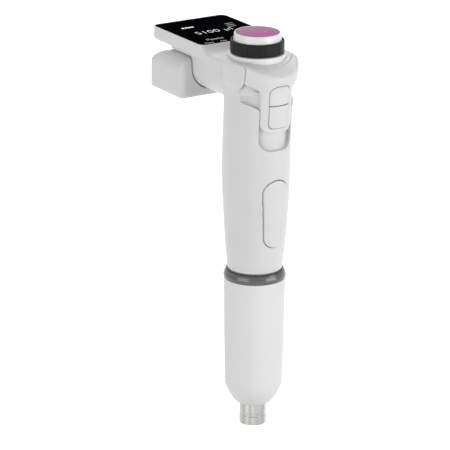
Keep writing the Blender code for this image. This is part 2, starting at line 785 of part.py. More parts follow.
def build_piston():
    low = PISTON_START
    head = low + PISTON_HEAD
    radius = PISTON_BORE - RUN_GAP
    groove = low + (PISTON_HEAD - SEAL_HEIGHT) / 2
    bore = SCREW_RADIUS + 0.0006
    bore_bottom = SCREW_BOTTOM - PISTON_STROKE - 0.003
    profile = [
        (0, bore_bottom),
        (bore, bore_bottom),
        (bore, ROD_TOP),
        (ROD_RADIUS, ROD_TOP),
        (ROD_RADIUS, head + 0.0015),
        (ROD_RADIUS + 0.0015, head),
        (radius, head),
        (radius, groove + SEAL_HEIGHT),
        (radius - SEAL_DEPTH, groove + SEAL_HEIGHT),
        (radius - SEAL_DEPTH, groove),
        (radius, groove),
        (radius, low + 0.0005),
        (radius - 0.0005, low),
        (0, low),
    ]
    turned("piston", profile, "grey_plastic", loop=False, steps=INNER_STEPS)
    seal_low = groove + RUN_GAP
    seal_high = groove + SEAL_HEIGHT - RUN_GAP
    seal_inner = radius - SEAL_DEPTH + RUN_GAP
    bulge = PISTON_BORE - 0.00005
    profile = [
        (bulge - 0.0004, seal_high),
        (bulge, (seal_low + seal_high) / 2),
        (bulge - 0.0004, seal_low),
        (seal_inner, seal_low),
        (seal_inner, seal_high),
    ]
    turned("piston_seal", profile, "seal_rubber", steps=INNER_STEPS)


def build_collar():
    low = SLEEVE_TOP + REST_GAP
    high = GRIP_BOTTOM - REST_GAP
    seat = flange_top() - FLANGE_THICKNESS - REST_GAP
    profile = [
        (SLEEVE_TOP_RADIUS - 0.0012, high),
        (COLLAR_RADIUS - 0.0006, high - 0.0022),
        (COLLAR_RADIUS, high - 0.0038),
        (COLLAR_RADIUS - 0.0001, low + 0.0007),
        (COLLAR_RADIUS - 0.0006, low),
        (FLANGE_RADIUS - COLLAR_LIP, low),
        (FLANGE_RADIUS - COLLAR_LIP, seat),
        (FLANGE_RADIUS + REST_GAP, seat),
        (FLANGE_RADIUS + REST_GAP, high),
    ]
    return turned("collar_ring", profile, "collar_grey")


def build_base_plate():
    low = flange_top() + REST_GAP
    high = low + PLATE_THICKNESS
    plate = rod("base_plate", BASE_PLATE_RADIUS, low, high, "aluminium", steps=ROUND_STEPS)
    centre = rod("base_centre", GUIDE_SEAT_RADIUS, low - OVERRUN, high + OVERRUN, None, steps=INNER_STEPS)
    cut(plate, centre)
    for side in (-1, 1):
        rod_at = (side * EJECTOR_ROD_OFFSET, 0, 0)
        guide_at = (0, side * GUIDE_ROD_OFFSET, 0)
        notch = rod("base_notch_%d" % side, EJECTOR_HOLE, low - OVERRUN, high + OVERRUN, None, rod_at)
        radius = GUIDE_ROD_RADIUS + RUN_GAP
        guide = rod("base_guide_%d" % side, radius, low - OVERRUN, high + OVERRUN, None, guide_at)
        cut(plate, notch, guide)
    profile = [
        (ROD_RADIUS + GUIDE_COLLAR_WALL, high + GUIDE_COLLAR_HEIGHT),
        (ROD_RADIUS + GUIDE_COLLAR_WALL, high + REST_GAP),
        (GUIDE_SEAT_RADIUS - REST_GAP, high + REST_GAP),
        (GUIDE_SEAT_RADIUS - REST_GAP, low),
        (ROD_RADIUS + RUN_GAP, low),
        (ROD_RADIUS + RUN_GAP, high + GUIDE_COLLAR_HEIGHT),
    ]
    turned("rod_guide", profile, "brass", steps=INNER_STEPS)
    return plate


def build_guide_rods():
    for side, name in ((-1, "front"), (1, "back")):
        at = (0, side * GUIDE_ROD_OFFSET, 0)
        low = flange_top() + REST_GAP
        high = MOTOR_PLATE_BOTTOM + PLATE_THICKNESS
        rod("guide_rod_" + name, GUIDE_ROD_RADIUS, low, high, "rod_steel", at, 16)


def build_nut():
    low = ROD_TOP + REST_GAP
    points = []
    for i in range(9):
        angle = math.radians(180 + 180 * i / 8)
        along = NUT_END_RADIUS * math.sin(angle) - GUIDE_ROD_OFFSET
        points.append((NUT_END_RADIUS * math.cos(angle), along))
    hub_side = math.asin(NUT_END_RADIUS / NUT_HUB_RADIUS)
    for i in range(9):
        angle = -math.pi / 2 + hub_side + (math.pi - 2 * hub_side) * i / 8
        points.append((NUT_HUB_RADIUS * math.cos(angle), NUT_HUB_RADIUS * math.sin(angle)))
    for i in range(9):
        angle = math.radians(180 * i / 8)
        along = NUT_END_RADIUS * math.sin(angle) + GUIDE_ROD_OFFSET
        points.append((NUT_END_RADIUS * math.cos(angle), along))
    for i in range(9):
        angle = math.pi / 2 + hub_side + (math.pi - 2 * hub_side) * i / 8
        points.append((NUT_HUB_RADIUS * math.cos(angle), NUT_HUB_RADIUS * math.sin(angle)))
    nut = extruded("drive_nut", points, NUT_HEIGHT, "brass", (0, 0, low + NUT_HEIGHT / 2))
    high = low + NUT_HEIGHT
    cut(nut, rod("nut_bore", SCREW_RADIUS + RUN_GAP, low - OVERRUN, high + OVERRUN, None))
    for end in (-1, 1):
        at = (0, end * GUIDE_ROD_OFFSET, 0)
        radius = GUIDE_ROD_RADIUS + RUN_GAP
        cut(nut, rod("nut_guide_%d" % end, radius, low - OVERRUN, high + OVERRUN, None, at))
    return nut


def build_motor_plate():
    low = MOTOR_PLATE_BOTTOM
    high = low + PLATE_THICKNESS
    half_width, front, back = (size - GRIP_WALL - REST_GAP for size in section_at(low))
    points = []
    for i in range(SECTION_POINTS):
        angle = 2 * math.pi * i / SECTION_POINTS
        reach = front if math.sin(angle) < 0 else back
        points.append((half_width * math.cos(angle), reach * math.sin(angle)))
    plate = extruded("motor_plate", points, PLATE_THICKNESS, "aluminium", (0, 0, (low + high) / 2))
    boss_radius = MOTOR_BOSS_RADIUS + RUN_GAP
    cut(plate, rod("plate_boss", boss_radius, low - OVERRUN, high + OVERRUN, None, steps=INNER_STEPS))
    for side in (-1, 1):
        rod_at = (side * EJECTOR_ROD_OFFSET, 0, 0)
        guide_at = (0, side * GUIDE_ROD_OFFSET, 0)
        cut(plate, rod("plate_rod_%d" % side, EJECTOR_HOLE, low - OVERRUN, high + OVERRUN, None, rod_at))
        radius = GUIDE_ROD_RADIUS + RUN_GAP
        cut(plate, rod("plate_guide_%d" % side, radius, low - OVERRUN, high + OVERRUN, None, guide_at))
    board_front = BOARD_BACK - BOARD_THICKNESS - REST_GAP
    board_low = (-BOARD_HALF_WIDTH - REST_GAP, board_front, low - OVERRUN)
    board_high = (BOARD_HALF_WIDTH + REST_GAP, BOARD_BACK + REST_GAP, high + OVERRUN)
    cut(plate, box("plate_board_slot", board_low, board_high, None))
    return plate


def build_motor():
    seat = MOTOR_PLATE_BOTTOM + PLATE_THICKNESS + REST_GAP
    top = seat + MOTOR_LENGTH
    boss = MOTOR_PLATE_BOTTOM + REST_GAP
    bore = SCREW_RADIUS + RUN_GAP
    profile = [
        (0, top),
        (MOTOR_RADIUS - 0.0030, top),
        (MOTOR_RADIUS - 0.0030, top - 0.0012),
        (MOTOR_RADIUS - 0.0006, top - 0.0012),
        (MOTOR_RADIUS, top - 0.0018),
        (MOTOR_RADIUS, seat),
        (MOTOR_BOSS_RADIUS, seat),
        (MOTOR_BOSS_RADIUS, boss),
        (bore, boss),
        (bore, seat + SCREW_SOCKET),
        (0, seat + SCREW_SOCKET),
    ]
    turned("motor", profile, "aluminium", loop=False, steps=INNER_STEPS)
    rod("lead_screw", SCREW_RADIUS, SCREW_BOTTOM, seat + SCREW_SOCKET - REST_GAP, "rod_steel")


def build_main_board():
    low = (-BOARD_HALF_WIDTH, BOARD_BACK - BOARD_THICKNESS, BOARD_BOTTOM)
    return box("main_board", low, (BOARD_HALF_WIDTH, BOARD_BACK, BOARD_TOP), "board_green")


# Half width of the head at a distance behind the axis.
def head_half_width(along):
    front = GRIP_STATIONS[-1][1]
    part = min(max(along / DISPLAY_FRONT, 0), 1)
    return front + (COVER_HALF_WIDTH - front) * part * part * (3 - 2 * part)


# The whole head seen from above, moved in by an inset.
def head_outline(inset=0.0):
    half_width, front, _ = GRIP_STATIONS[-1][1:]
    half_width -= inset
    front -= inset
    points = []
    for i in range(17):
        angle = math.pi * i / 16
        points.append((-half_width * math.cos(angle), -front * math.sin(angle)))
    sides = [DISPLAY_FRONT * i / 6 for i in range(1, 7)]
    points += [(head_half_width(along) - inset, along) for along in sides]
    corner = COVER_CORNER - inset * 0.5
    back = COVER_BACK - inset
    for i in range(CORNER_STEPS + 1):
        angle = math.pi / 2 * i / CORNER_STEPS
        points.append(
            (
                COVER_HALF_WIDTH - inset - corner + corner * math.cos(angle),
                back - corner + corner * math.sin(angle),
            )
        )
    for i in range(CORNER_STEPS + 1):
        angle = math.pi / 2 * (1 + i / CORNER_STEPS)
        points.append(
            (
                -(COVER_HALF_WIDTH - inset) + corner + corner * math.cos(angle),
                back - corner + corner * math.sin(angle),
            )
        )
    points += [(-head_half_width(along) + inset, along) for along in reversed(sides)]
    return points


def build_top_cover():
    low = GRIP_TOP + REST_GAP
    height = COVER_TOP - low
    cover = extruded("top_cover", head_outline(), height, "white_shell", (0, 0, low + height / 2))
    soften(cover, 0.0008, 2, 60)
    ramp = rounded(
        [
            (DISPLAY_FRONT, OVERHEAD, 0),
            (AHEAD, OVERHEAD, 0),
            (AHEAD, PLATEAU_HEIGHT, 0),
            (RAMP_FOOT, PLATEAU_HEIGHT, 0.0015),
            (DISPLAY_FRONT, COVER_TOP + 0.0005, 0),
        ]
    )
    cut(cover, extruded("cover_ramp", ramp, 0.080, None, (0, 0, 0), "side"))
    cut(cover, extruded("slab_rise", slab_rise(), 0.080, None, (0, 0, 0), "side"))
    cut(cover, slider_front_region("cover_front_cut"))
    glass_low = COVER_TOP - GLASS_THICKNESS - REST_GAP
    cut(cover, plate_cutter("glass_seat", GLASS_HALF_WIDTH + REST_GAP, REST_GAP, glass_low, OVERHEAD))
    pocket_floor = glass_low - PANEL_THICKNESS - BOARD_THICKNESS - 2 * REST_GAP
    pocket_half = GLASS_HALF_WIDTH - GLASS_LEDGE
    cut(cover, plate_cutter("display_pocket", pocket_half, -GLASS_LEDGE, pocket_floor, OVERHEAD))
    well = extruded("head_well", well_outline(), 0.010, None, (0, 0, PLATEAU_HEIGHT - COVER_WALL - 0.005))
    cut(cover, well)
    way_low = (-CABLE_WAY / 2, CABLE_WAY_FRONT, low - 0.002)
    way_high = (CABLE_WAY / 2, CABLE_WAY_BACK, pocket_floor + 0.001)
    cut(cover, box("cable_way", way_low, way_high, None))
    high = PLATEAU_HEIGHT + OVERRUN
    cut(cover, rod("hub_way", HUB_RADIUS + REST_GAP, GRIP_TOP - OVERRUN, high, None, steps=ROUND_STEPS))
    return cover


# The slab's underside curves up to its back edge. This is what lies below the curve.
def slab_rise():
    below = GRIP_TOP - 0.010
    start = COVER_BACK - SLAB_BACK_ROUND
    centre = GRIP_TOP + REST_GAP + SLAB_BACK_ROUND
    points = [(start, below)]
    for i in range(9):
        angle = math.radians(90 * i / 8)
        along = start + SLAB_BACK_ROUND * math.sin(angle)
        points.append((along, centre - SLAB_BACK_ROUND * math.cos(angle)))
    points.append((COVER_BACK + 0.010, centre))
    points.append((COVER_BACK + 0.010, below))
    return points


# What the slider's shelf takes from the front of the head.
def slider_front_region(name):
    across = WING_HALF_WIDTH + REST_GAP
    low = GRIP_TOP - 0.011
    block = box(name, (-across, AHEAD, low), (across, 0, OVERHEAD), None)
    radius = SHELF_INNER_RADIUS - REST_GAP
    keep = rod(name + "_keep", radius, low - OVERRUN, OVERHEAD + OVERRUN, None, steps=ROUND_STEPS)
    return cut(block, keep)


def plate_cutter(name, half_width, grow, low, high):
    outline = glass_outline(half_width, grow)
    return extruded(name, outline, high - low, None, (0, 0, (low + high) / 2))


def glass_outline(half_width, grow):
    corner = GLASS_CORNER
    return rounded(
        [
            (half_width, GLASS_FRONT - grow, corner),
            (-half_width, GLASS_FRONT - grow, corner),
            (-half_width, GLASS_BACK + grow, corner),
            (half_width, GLASS_BACK + grow, corner),
        ]
    )


def well_outline():
    points = []
    radius = SHELF_INNER_RADIUS - REST_GAP - COVER_WALL
    for i in range(33):
        angle = math.pi * i / 32
        points.append((-radius * math.cos(angle), -radius * math.sin(angle)))
    points += [(radius, RAMP_FOOT - COVER_WALL), (-radius, RAMP_FOOT - COVER_WALL)]
    return points


def build_display():
    low = COVER_TOP - GLASS_THICKNESS
    outline = glass_outline(GLASS_HALF_WIDTH, 0.0)
    middle = low + GLASS_THICKNESS / 2
    extruded("display_glass", outline, GLASS_THICKNESS, "black_glass", (0, 0, middle))
    inset = GLASS_LEDGE + REST_GAP
    outline = glass_outline(GLASS_HALF_WIDTH - inset, -inset)
    middle = low - REST_GAP - PANEL_THICKNESS / 2
    extruded("display_panel", outline, PANEL_THICKNESS, "grey_plastic", (0, 0, middle))
    middle -= PANEL_THICKNESS / 2 + REST_GAP + BOARD_THICKNESS / 2
    extruded("display_board", outline, BOARD_THICKNESS, "board_green", (0, 0, middle))


# The battery housing's form, moved in by an inset: what its front, side and top outlines share.
def housing_form(name, finish, inset):
    half = HOUSING_HALF_WIDTH - inset
    front = HOUSING_FRONT + inset
    back = HOUSING_BACK - inset
    low = HOUSING_BOTTOM + inset
    top = HOUSING_TOP - inset
    foot_round = max(HOUSING_BOTTOM_ROUND - inset, 0)
    corner_round = HOUSING_CORNER_ROUND - inset
    face = [(half, top, HOUSING_SIDE_ROUND - inset), (half, low, foot_round)]
    profile = [
        (back, top, HOUSING_BACK_ROUND - inset),
        (back, low, foot_round),
        (front, low, foot_round),
        (front, top, max(HOUSING_FRONT_ROUND - inset, 0)),
    ]
    plan = [
        (half, front, corner_round),
        (-half, front, corner_round),
        (-half, back, corner_round),
        (half, back, corner_round),
    ]
    depth = back - front
    form = extruded(name, rounded(mirrored(face)), depth, finish, (0, (front + back) / 2, 0), "front")
    wide = 2 * HOUSING_HALF_WIDTH + OVERRUN
    keep_inside(form, extruded(name + "_profile", rounded(profile), wide, None, (0, 0, 0), "side"))
    tall = 2 * (top - low)
    keep_inside(form, extruded(name + "_plan", rounded(plan), tall, None, (0, 0, (top + low) / 2)))
    return form


# The battery's housing hangs under the display, with its front wall round the neck.
def build_housing():
    housing = housing_form("battery_housing", "white_shell", 0)
    bay = housing_form("battery_bay", None, HOUSING_WALL)
    run = HOUSING_FRONT + HOUSING_WALL + OVERRUN
    cut(housing, bay, neck_form("neck_way", -REST_GAP, run, HOUSING_TOP + OVERRUN))
    inset = HOUSING_WALL + BATTERY_MARGIN
    corner = (HOUSING_CORNER_ROUND - HOUSING_WALL) * 0.3
    half = HOUSING_HALF_WIDTH - inset - corner
    floor = HOUSING_BOTTOM + HOUSING_WALL + REST_GAP
    cell_low = (-half, HOUSING_FRONT + inset + corner, floor)
    cell_high = (half, HOUSING_BACK - inset - corner, floor + BATTERY_HEIGHT)
    box("battery_cell", cell_low, cell_high, "battery_wrap")
    return housing


def build_knob():
    flange_low = PLATEAU_HEIGHT + REST_GAP
    flange_high = KNOB_BOTTOM - REST_GAP
    profile = [
        (HUB_RADIUS, HUB_TOP),
        (HUB_RADIUS, flange_high),
        (KNOB_FLANGE_RADIUS - 0.0006, flange_high),
        (KNOB_FLANGE_RADIUS, flange_high - 0.0007),
        (KNOB_FLANGE_RADIUS, flange_low),
        (HUB_RADIUS, flange_low),
        (HUB_RADIUS, HUB_BOTTOM),
        (HUB_BORE, HUB_BOTTOM),
        (HUB_BORE, HUB_TOP),
    ]
    turned("dial_base", profile, "white_trim", steps=ROUND_STEPS)
    recess = CAP_BOTTOM_RADIUS + REST_GAP
    profile = [
        (KNOB_RADIUS - 0.0008, KNOB_TOP),
        (KNOB_RADIUS - 0.0002, KNOB_TOP - 0.0004),
        (KNOB_RADIUS, KNOB_TOP - 0.0010),
        (KNOB_RADIUS, KNOB_BOTTOM + 0.0004),
        (KNOB_RADIUS - 0.0004, KNOB_BOTTOM),
        (HUB_RADIUS + RUN_GAP, KNOB_BOTTOM),
        (HUB_RADIUS + RUN_GAP, HUB_TOP),
        (recess, HUB_TOP),
        (recess, KNOB_TOP),
    ]
    ring = turned("dial_ring", profile, "dark_ring", steps=KNOB_GROOVES * 4)
    for i in range(KNOB_GROOVES):
        angle = 2 * math.pi * i / KNOB_GROOVES
        at = (math.cos(angle) * (KNOB_RADIUS + 0.0002), math.sin(angle) * (KNOB_RADIUS + 0.0002), 0)
        groove = rod("dial_groove_%d" % i, 0.0005, KNOB_BOTTOM - 0.001, KNOB_TOP + 0.001, None, at, 8)
        cut(ring, groove)
    stem = HUB_BORE - REST_GAP
    seat = CAP_TOP - INSERT_SUNK - INSERT_THICKNESS - REST_GAP
    profile = [
        (0, seat),
        (INSERT_RADIUS + RUN_GAP, seat),
        (INSERT_RADIUS + RUN_GAP, CAP_TOP - 0.0004),
        (CAP_TOP_RADIUS - 0.0006, CAP_TOP),
        (CAP_TOP_RADIUS, CAP_TOP - 0.0006),
        (CAP_BOTTOM_RADIUS, CAP_BOTTOM + 0.0006),
        (CAP_BOTTOM_RADIUS - 0.0004, CAP_BOTTOM),
        (stem, CAP_BOTTOM),
        (stem, CAP_STEM_BOTTOM),
        (0, CAP_STEM_BOTTOM),
    ]
    turned("dial_cap", profile, "white_trim", loop=False)
    low = seat + REST_GAP
    rod("cap_insert", INSERT_RADIUS, low, low + INSERT_THICKNESS, "pink_insert", steps=ROUND_STEPS)
    top = HUB_BOTTOM - REST_GAP
    low = top - DIAL_BOARD_THICKNESS
    board = rod("dial_board", HUB_RADIUS, low, top, "board_green", steps=INNER_STEPS)
    switch_top = CAP_STEM_BOTTOM - CAP_TRAVEL - 0.0001
    half = SWITCH_HALF_WIDTH
    low = top + REST_GAP
    body = box("confirm_switch", (-half, -half, low), (half, half, low + SWITCH_HEIGHT), "grey_plastic")
    join(body, rod("switch_plunger", 0.0017, top + 0.002, switch_top, None))
    return board


build_handle_shell()
build_release_button()
build_slider()
build_key("key_up", KEY_SPLIT + REST_GAP / 2, KEY_TOP)
build_key("key_down", KEY_BOTTOM, KEY_SPLIT - REST_GAP / 2)
build_yoke()
build_ejector_rods()
build_sleeve()
build_nozzle()
build_cylinder()
build_piston()
build_collar()
build_base_plate()
build_guide_rods()
build_nut()
build_motor_plate()
build_motor()
build_main_board()
build_top_cover()
build_display()
build_housing()
build_knob()
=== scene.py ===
import json
import math

import bmesh
import bpy
from mathutils import Matrix, Vector


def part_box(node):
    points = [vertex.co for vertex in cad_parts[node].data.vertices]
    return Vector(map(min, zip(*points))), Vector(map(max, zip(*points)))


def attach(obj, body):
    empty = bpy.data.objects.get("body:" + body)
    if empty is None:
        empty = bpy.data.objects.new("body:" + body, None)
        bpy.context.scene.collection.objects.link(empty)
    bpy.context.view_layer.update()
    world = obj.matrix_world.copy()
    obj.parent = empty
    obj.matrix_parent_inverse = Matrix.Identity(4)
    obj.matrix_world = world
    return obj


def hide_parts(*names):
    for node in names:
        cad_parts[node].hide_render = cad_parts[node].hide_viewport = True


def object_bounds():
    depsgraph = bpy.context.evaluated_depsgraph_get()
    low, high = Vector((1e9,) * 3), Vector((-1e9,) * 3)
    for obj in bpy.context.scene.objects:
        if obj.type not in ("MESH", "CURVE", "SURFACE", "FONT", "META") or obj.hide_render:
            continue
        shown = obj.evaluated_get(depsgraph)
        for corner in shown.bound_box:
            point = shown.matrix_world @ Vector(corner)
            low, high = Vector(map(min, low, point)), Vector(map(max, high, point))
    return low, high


# Electronic pipette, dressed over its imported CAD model.
# Pieces are modelled in millimetres on the pipette's own axis, with the keys towards -Y,
# and settle() moves each one into the frame when its shape is done.

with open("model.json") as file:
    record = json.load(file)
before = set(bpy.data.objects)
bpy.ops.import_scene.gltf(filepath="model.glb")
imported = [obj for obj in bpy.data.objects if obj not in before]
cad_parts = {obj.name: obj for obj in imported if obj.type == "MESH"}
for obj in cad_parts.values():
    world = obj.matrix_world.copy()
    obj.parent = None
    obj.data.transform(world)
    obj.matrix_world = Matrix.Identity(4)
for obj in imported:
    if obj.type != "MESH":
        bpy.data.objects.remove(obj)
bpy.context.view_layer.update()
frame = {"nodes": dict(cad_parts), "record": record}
print("frame loaded:", len(frame["nodes"]), "nodes")

nozzleLow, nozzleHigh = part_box("nozzle")
axisFoot = Vector(((nozzleLow.x + nozzleHigh.x) / 2, (nozzleLow.y + nozzleHigh.y) / 2, nozzleLow.z))
toFrame = Matrix.Translation(axisFoot) @ Matrix.Scale(0.001, 4)


# Mesh helpers. Booleans run one tool at a time, on closed solids.
def meshPiece(name, verts, faces):
    mesh = bpy.data.meshes.new(name)
    mesh.from_pydata([tuple(v) for v in verts], [], faces)
    mesh.validate()
    piece = bpy.data.objects.new(name, mesh)
    bpy.context.scene.collection.objects.link(piece)
    return piece


def applyAll(piece):
    graph = bpy.context.evaluated_depsgraph_get()
    mesh = bpy.data.meshes.new_from_object(piece.evaluated_get(graph))
    piece.modifiers.clear()
    old = piece.data
    piece.data = mesh
    bpy.data.meshes.remove(old)
    return piece


# Fills any face that a boolean dropped, as an open solid has no inside.
def closeHoles(piece):
    solid = bmesh.new()
    solid.from_mesh(piece.data)
    bmesh.ops.remove_doubles(solid, verts=solid.verts, dist=1e-4)
    rims = [e for e in solid.edges if len(e.link_faces) == 1]
    if rims:
        bmesh.ops.holes_fill(solid, edges=rims, sides=0)
        bmesh.ops.recalc_face_normals(solid, faces=solid.faces)
        left = sum(1 for e in solid.edges if len(e.link_faces) != 2)
        print(piece.name, "rims closed:", len(rims), "left open:", left)
    solid.to_mesh(piece.data)
    solid.free()


def combine(target, tools, operation):
    for tool in tools:
        closeHoles(tool)
        step = target.modifiers.new(tool.name, "BOOLEAN")
        step.operation = operation
        step.object = tool
        step.solver = "EXACT"
        applyAll(target)
        bpy.data.objects.remove(tool)
    return target


def cut(target, *tools):
    return combine(target, tools, "DIFFERENCE")


def join(target, *tools):
    return combine(target, tools, "UNION")


def keep(target, *tools):
    return combine(target, tools, "INTERSECT")


# Rounds the corners (across, along, radius) of an outline.
def rounded(corners, steps=8):
    points = []
    for i, (across, along, radius) in enumerate(corners):
        corner = Vector((across, along))
        before = Vector(corners[i - 1][:2]) - corner
        after = Vector(corners[(i + 1) % len(corners)][:2]) - corner
        if radius <= 0:
            points.append((across, along))
            continue
        half = before.angle(after) / 2
        reach = radius / math.tan(half)
        start = corner + before.normalized() * reach
        inward = (before.normalized() + after.normalized()).normalized()
        middle = corner + inward * radius / math.sin(half)
        first = start - middle
        turn = first.angle_signed(corner + after.normalized() * reach - middle)
        for k in range(steps + 1):
            angle = turn * k / steps
            points.append((
                middle.x + first.x * math.cos(angle) + first.y * math.sin(angle),
                middle.y + first.y * math.cos(angle) - first.x * math.sin(angle),
            ))
    return points


def mirrored(points):
    return points + [(-across, along, radius) for across, along, radius in reversed(points)]


# Turns a closed loop of (radius, height, corner round) points about the axis.
def turned(name, profile, around=128, radiusAt=None):
    loop = rounded(profile, 5)
    verts, faces, rings = [], [], []
    for radius, height in loop:
        if radius < 1e-6:
            rings.append([len(verts)] * around)
            verts.append((0, 0, height))
            continue
        rings.append(list(range(len(verts), len(verts) + around)))
        for i in range(around):
            angle = 2 * math.pi * i / around
            reach = radius if radiusAt is None else radiusAt(radius, height, angle)
            verts.append((reach * math.cos(angle), reach * math.sin(angle), height))
    for k, ring in enumerate(rings):
        below = rings[(k + 1) % len(rings)]
        for i in range(around):
            j = (i + 1) % around
            corners = list(dict.fromkeys((ring[i], below[i], below[j], ring[j])))
            if len(corners) > 2:
                faces.append(corners)
    piece = meshPiece(name, verts, faces)
    return outwards(piece)


def outwards(piece):
    solid = bmesh.new()
    solid.from_mesh(piece.data)
    bmesh.ops.remove_doubles(solid, verts=solid.verts, dist=0.0005)
    bmesh.ops.recalc_face_normals(solid, faces=solid.faces)
    solid.to_mesh(piece.data)
    solid.free()
    return piece


# Sweeps an outline between two depths. facing tells which way the outline looks.
def prism(name, outline, low, high, facing="up"):
    def at(across, along, depth):
        if facing == "up":
            return (across, along, depth)
        if facing == "front":
            return (across, depth, along)
        return (depth, across, along)

    count = len(outline)
    verts = [at(a, b, low) for a, b in outline] + [at(a, b, high) for a, b in outline]
    faces = [(i, (i + 1) % count, (i + 1) % count + count, i + count) for i in range(count)]
    faces += [tuple(range(count - 1, -1, -1)), tuple(range(count, 2 * count))]
    return outwards(meshPiece(name, verts, faces))


# Faces of a closed body made of rows of points, each row a ring.
def tubeFaces(rows, count):
    faces = []
    for k in range(rows - 1):
        for i in range(count):
            j = (i + 1) % count
            faces.append((k * count + i, k * count + j, (k + 1) * count + j, (k + 1) * count + i))
    return faces + [tuple(range(count - 1, -1, -1)), tuple(range((rows - 1) * count, rows * count))]


def box(name, low, high):
    corners = [(low[0], low[1]), (high[0], low[1]), (high[0], high[1]), (low[0], high[1])]
    return prism(name, corners, low[2], high[2])


# Turns the crisp solid into an even skin and relaxes it, which rounds its edges as moulding does.
def moulded(piece, grain, relax, faces=None):
    closeHoles(piece)
    step = piece.modifiers.new("skin", "REMESH")
    step.mode = "VOXEL"
    step.voxel_size = grain
    step.use_smooth_shade = True
    smooth = piece.modifiers.new("relax", "SMOOTH")
    smooth.factor = 0.5
    smooth.iterations = relax
    applyAll(piece)
    if faces and len(piece.data.polygons) * 2 > faces:
        thin = piece.modifiers.new("thin", "DECIMATE")
        thin.ratio = faces / (len(piece.data.polygons) * 2)
        applyAll(piece)
    return piece


# Cuts a skin flat at a height and closes it, so that two pieces meet in a hairline.
def trimmed(piece, height, keepAbove):
    solid = bmesh.new()
    solid.from_mesh(piece.data)
    everything = solid.verts[:] + solid.edges[:] + solid.faces[:]
    result = bmesh.ops.bisect_plane(
        solid, geom=everything, dist=1e-5, plane_co=(0, 0, height), plane_no=(0, 0, 1),
        clear_inner=keepAbove, clear_outer=not keepAbove,
    )
    rim = [e for e in result["geom_cut"] if isinstance(e, bmesh.types.BMEdge)]
    bmesh.ops.triangle_fill(solid, edges=rim, use_beauty=True)
    bmesh.ops.recalc_face_normals(solid, faces=solid.faces)
    solid.to_mesh(piece.data)
    solid.free()
    return piece


def shadeSmooth(piece, degrees=35):
    piece.data.shade_smooth()
    piece.data.set_sharp_from_angle(angle=math.radians(degrees))
    return piece


def softEdges(piece, width, segments=3, degrees=40):
    bevel = piece.modifiers.new("edges", "BEVEL")
    bevel.width = width
    bevel.segments = segments
    bevel.limit_method = "ANGLE"
    bevel.angle_limit = math.radians(degrees)
    return applyAll(piece)


# Moves a finished piece into the frame and lets it stand for its CAD nodes.
def settle(piece, body, material, slot, *nodes):
    piece.data.transform(toFrame)
    piece.data.materials.clear()
    piece.data.materials.append(material)
    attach(piece, body)
    if nodes:
        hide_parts(*nodes)
    return piece


# Height, half width, front reach and back reach of the grip, smooth between its stations.
gripStations = (
    (102.2, 16.9, 16.9, 16.9),
    (110.0, 17.1, 19.0, 19.0),
    (122.0, 17.5, 21.4, 21.4),
    (134.0, 17.9, 22.8, 22.8),
    (150.0, 18.8, 23.8, 23.8),
    (170.0, 19.4, 24.0, 23.8),
    (190.0, 19.5, 24.3, 22.0),
    (206.0, 19.8, 25.5, 20.4),
    (218.5, 20.5, 26.1, 20.0),
    (224.0, 22.2, 28.6, 20.0),
    (231.0, 22.9, 29.0, 20.0),
)


def gripSizes(height):
    heights = [row[0] for row in gripStations]
    height = min(max(height, heights[0]), heights[-1])
    upper = next(i for i in range(1, len(heights)) if height <= heights[i])
    lower = upper - 1
    span = heights[upper] - heights[lower]
    part = (height - heights[lower]) / span

    def slope(index, column):
        before, after = max(index - 1, 0), min(index + 1, len(heights) - 1)
        rise = gripStations[after][column] - gripStations[before][column]
        return rise / (heights[after] - heights[before])

    sizes = []
    for column in (1, 2, 3):
        start, end = gripStations[lower][column], gripStations[upper][column]
        value = (2 * part**3 - 3 * part**2 + 1) * start + (3 * part**2 - 2 * part**3) * end
        value += (part**3 - 2 * part**2 + part) * slope(lower, column) * span
        value += (part**3 - part**2) * slope(upper, column) * span
        sizes.append(value)
    return sizes


# Each inset turns the form a little, so that no two forms share a corner.
def gripForm(name, low, high, inset=0.0, around=120, every=2.0):
    count = max(2, round((high - low) / every))
    phase = 0.5 + 0.09 * inset
    verts, faces = [], []
    for k in range(count + 1):
        height = low + (high - low) * k / count
        halfWidth, front, back = (size - inset for size in gripSizes(height))
        for i in range(around):
            angle = 2 * math.pi * (i + phase) / around
            reach = front if math.cos(angle) > 0 else back
            verts.append((halfWidth * math.sin(angle), -reach * math.cos(angle), height))
    for k in range(count):
        for i in range(around):
            j = (i + 1) % around
            faces.append((k * around + i, k * around + j, (k + 1) * around + j, (k + 1) * around + i))
    faces.append(tuple(range(around - 1, -1, -1)))
    faces.append(tuple(range(count * around, (count + 1) * around)))
    return outwards(meshPiece(name, verts, faces))


# Measures that more than one piece shares.
slider = {
    "travel": 11.2,
    "skin": 2.6,
    "shelfInner": 20.5,
    "shelfLine": -12.5,
    "shelfThick": 2.2,
    "lip": 1.5,
    "rear": -9.5,
    "tongueHalf": 10.9,
    "tongueFoot": 193.5,
    "wingHalf": 18.6,
    "wingFoot": 223.6,
    "wingRoot": 219.5,
    "recessDepth": 2.9,
    "recessFloor": 1.4,
    "ledge": 215.0,
}
keys = {
    "half": 6.8, "top": 223.0, "split": 210.4, "foot": 196.0,
    "pocket": 1.8, "proud": 0.25, "inner": 1.1, "topRound": 4.6, "footRound": 3.0, "splitRound": 0.3,
    "dashHalf": 2.4, "dashThick": 0.56, "dashDepth": 0.3, "upperDash": 215.2, "lowerDash": 205.0,
}
gap = 0.3


def sliderOutline(grow=0.0, down=0.0):
    wing = slider["wingHalf"] + grow
    side = slider["tongueHalf"] + grow
    half = [
        (wing, 262, 0),
        (wing, slider["wingFoot"] - down - grow, 1.2),
        (side, slider["wingRoot"] - down - grow, 2.2),
        (side, slider["tongueFoot"] - down - grow, 6.0 + grow),
    ]
    return rounded(mirrored(half))


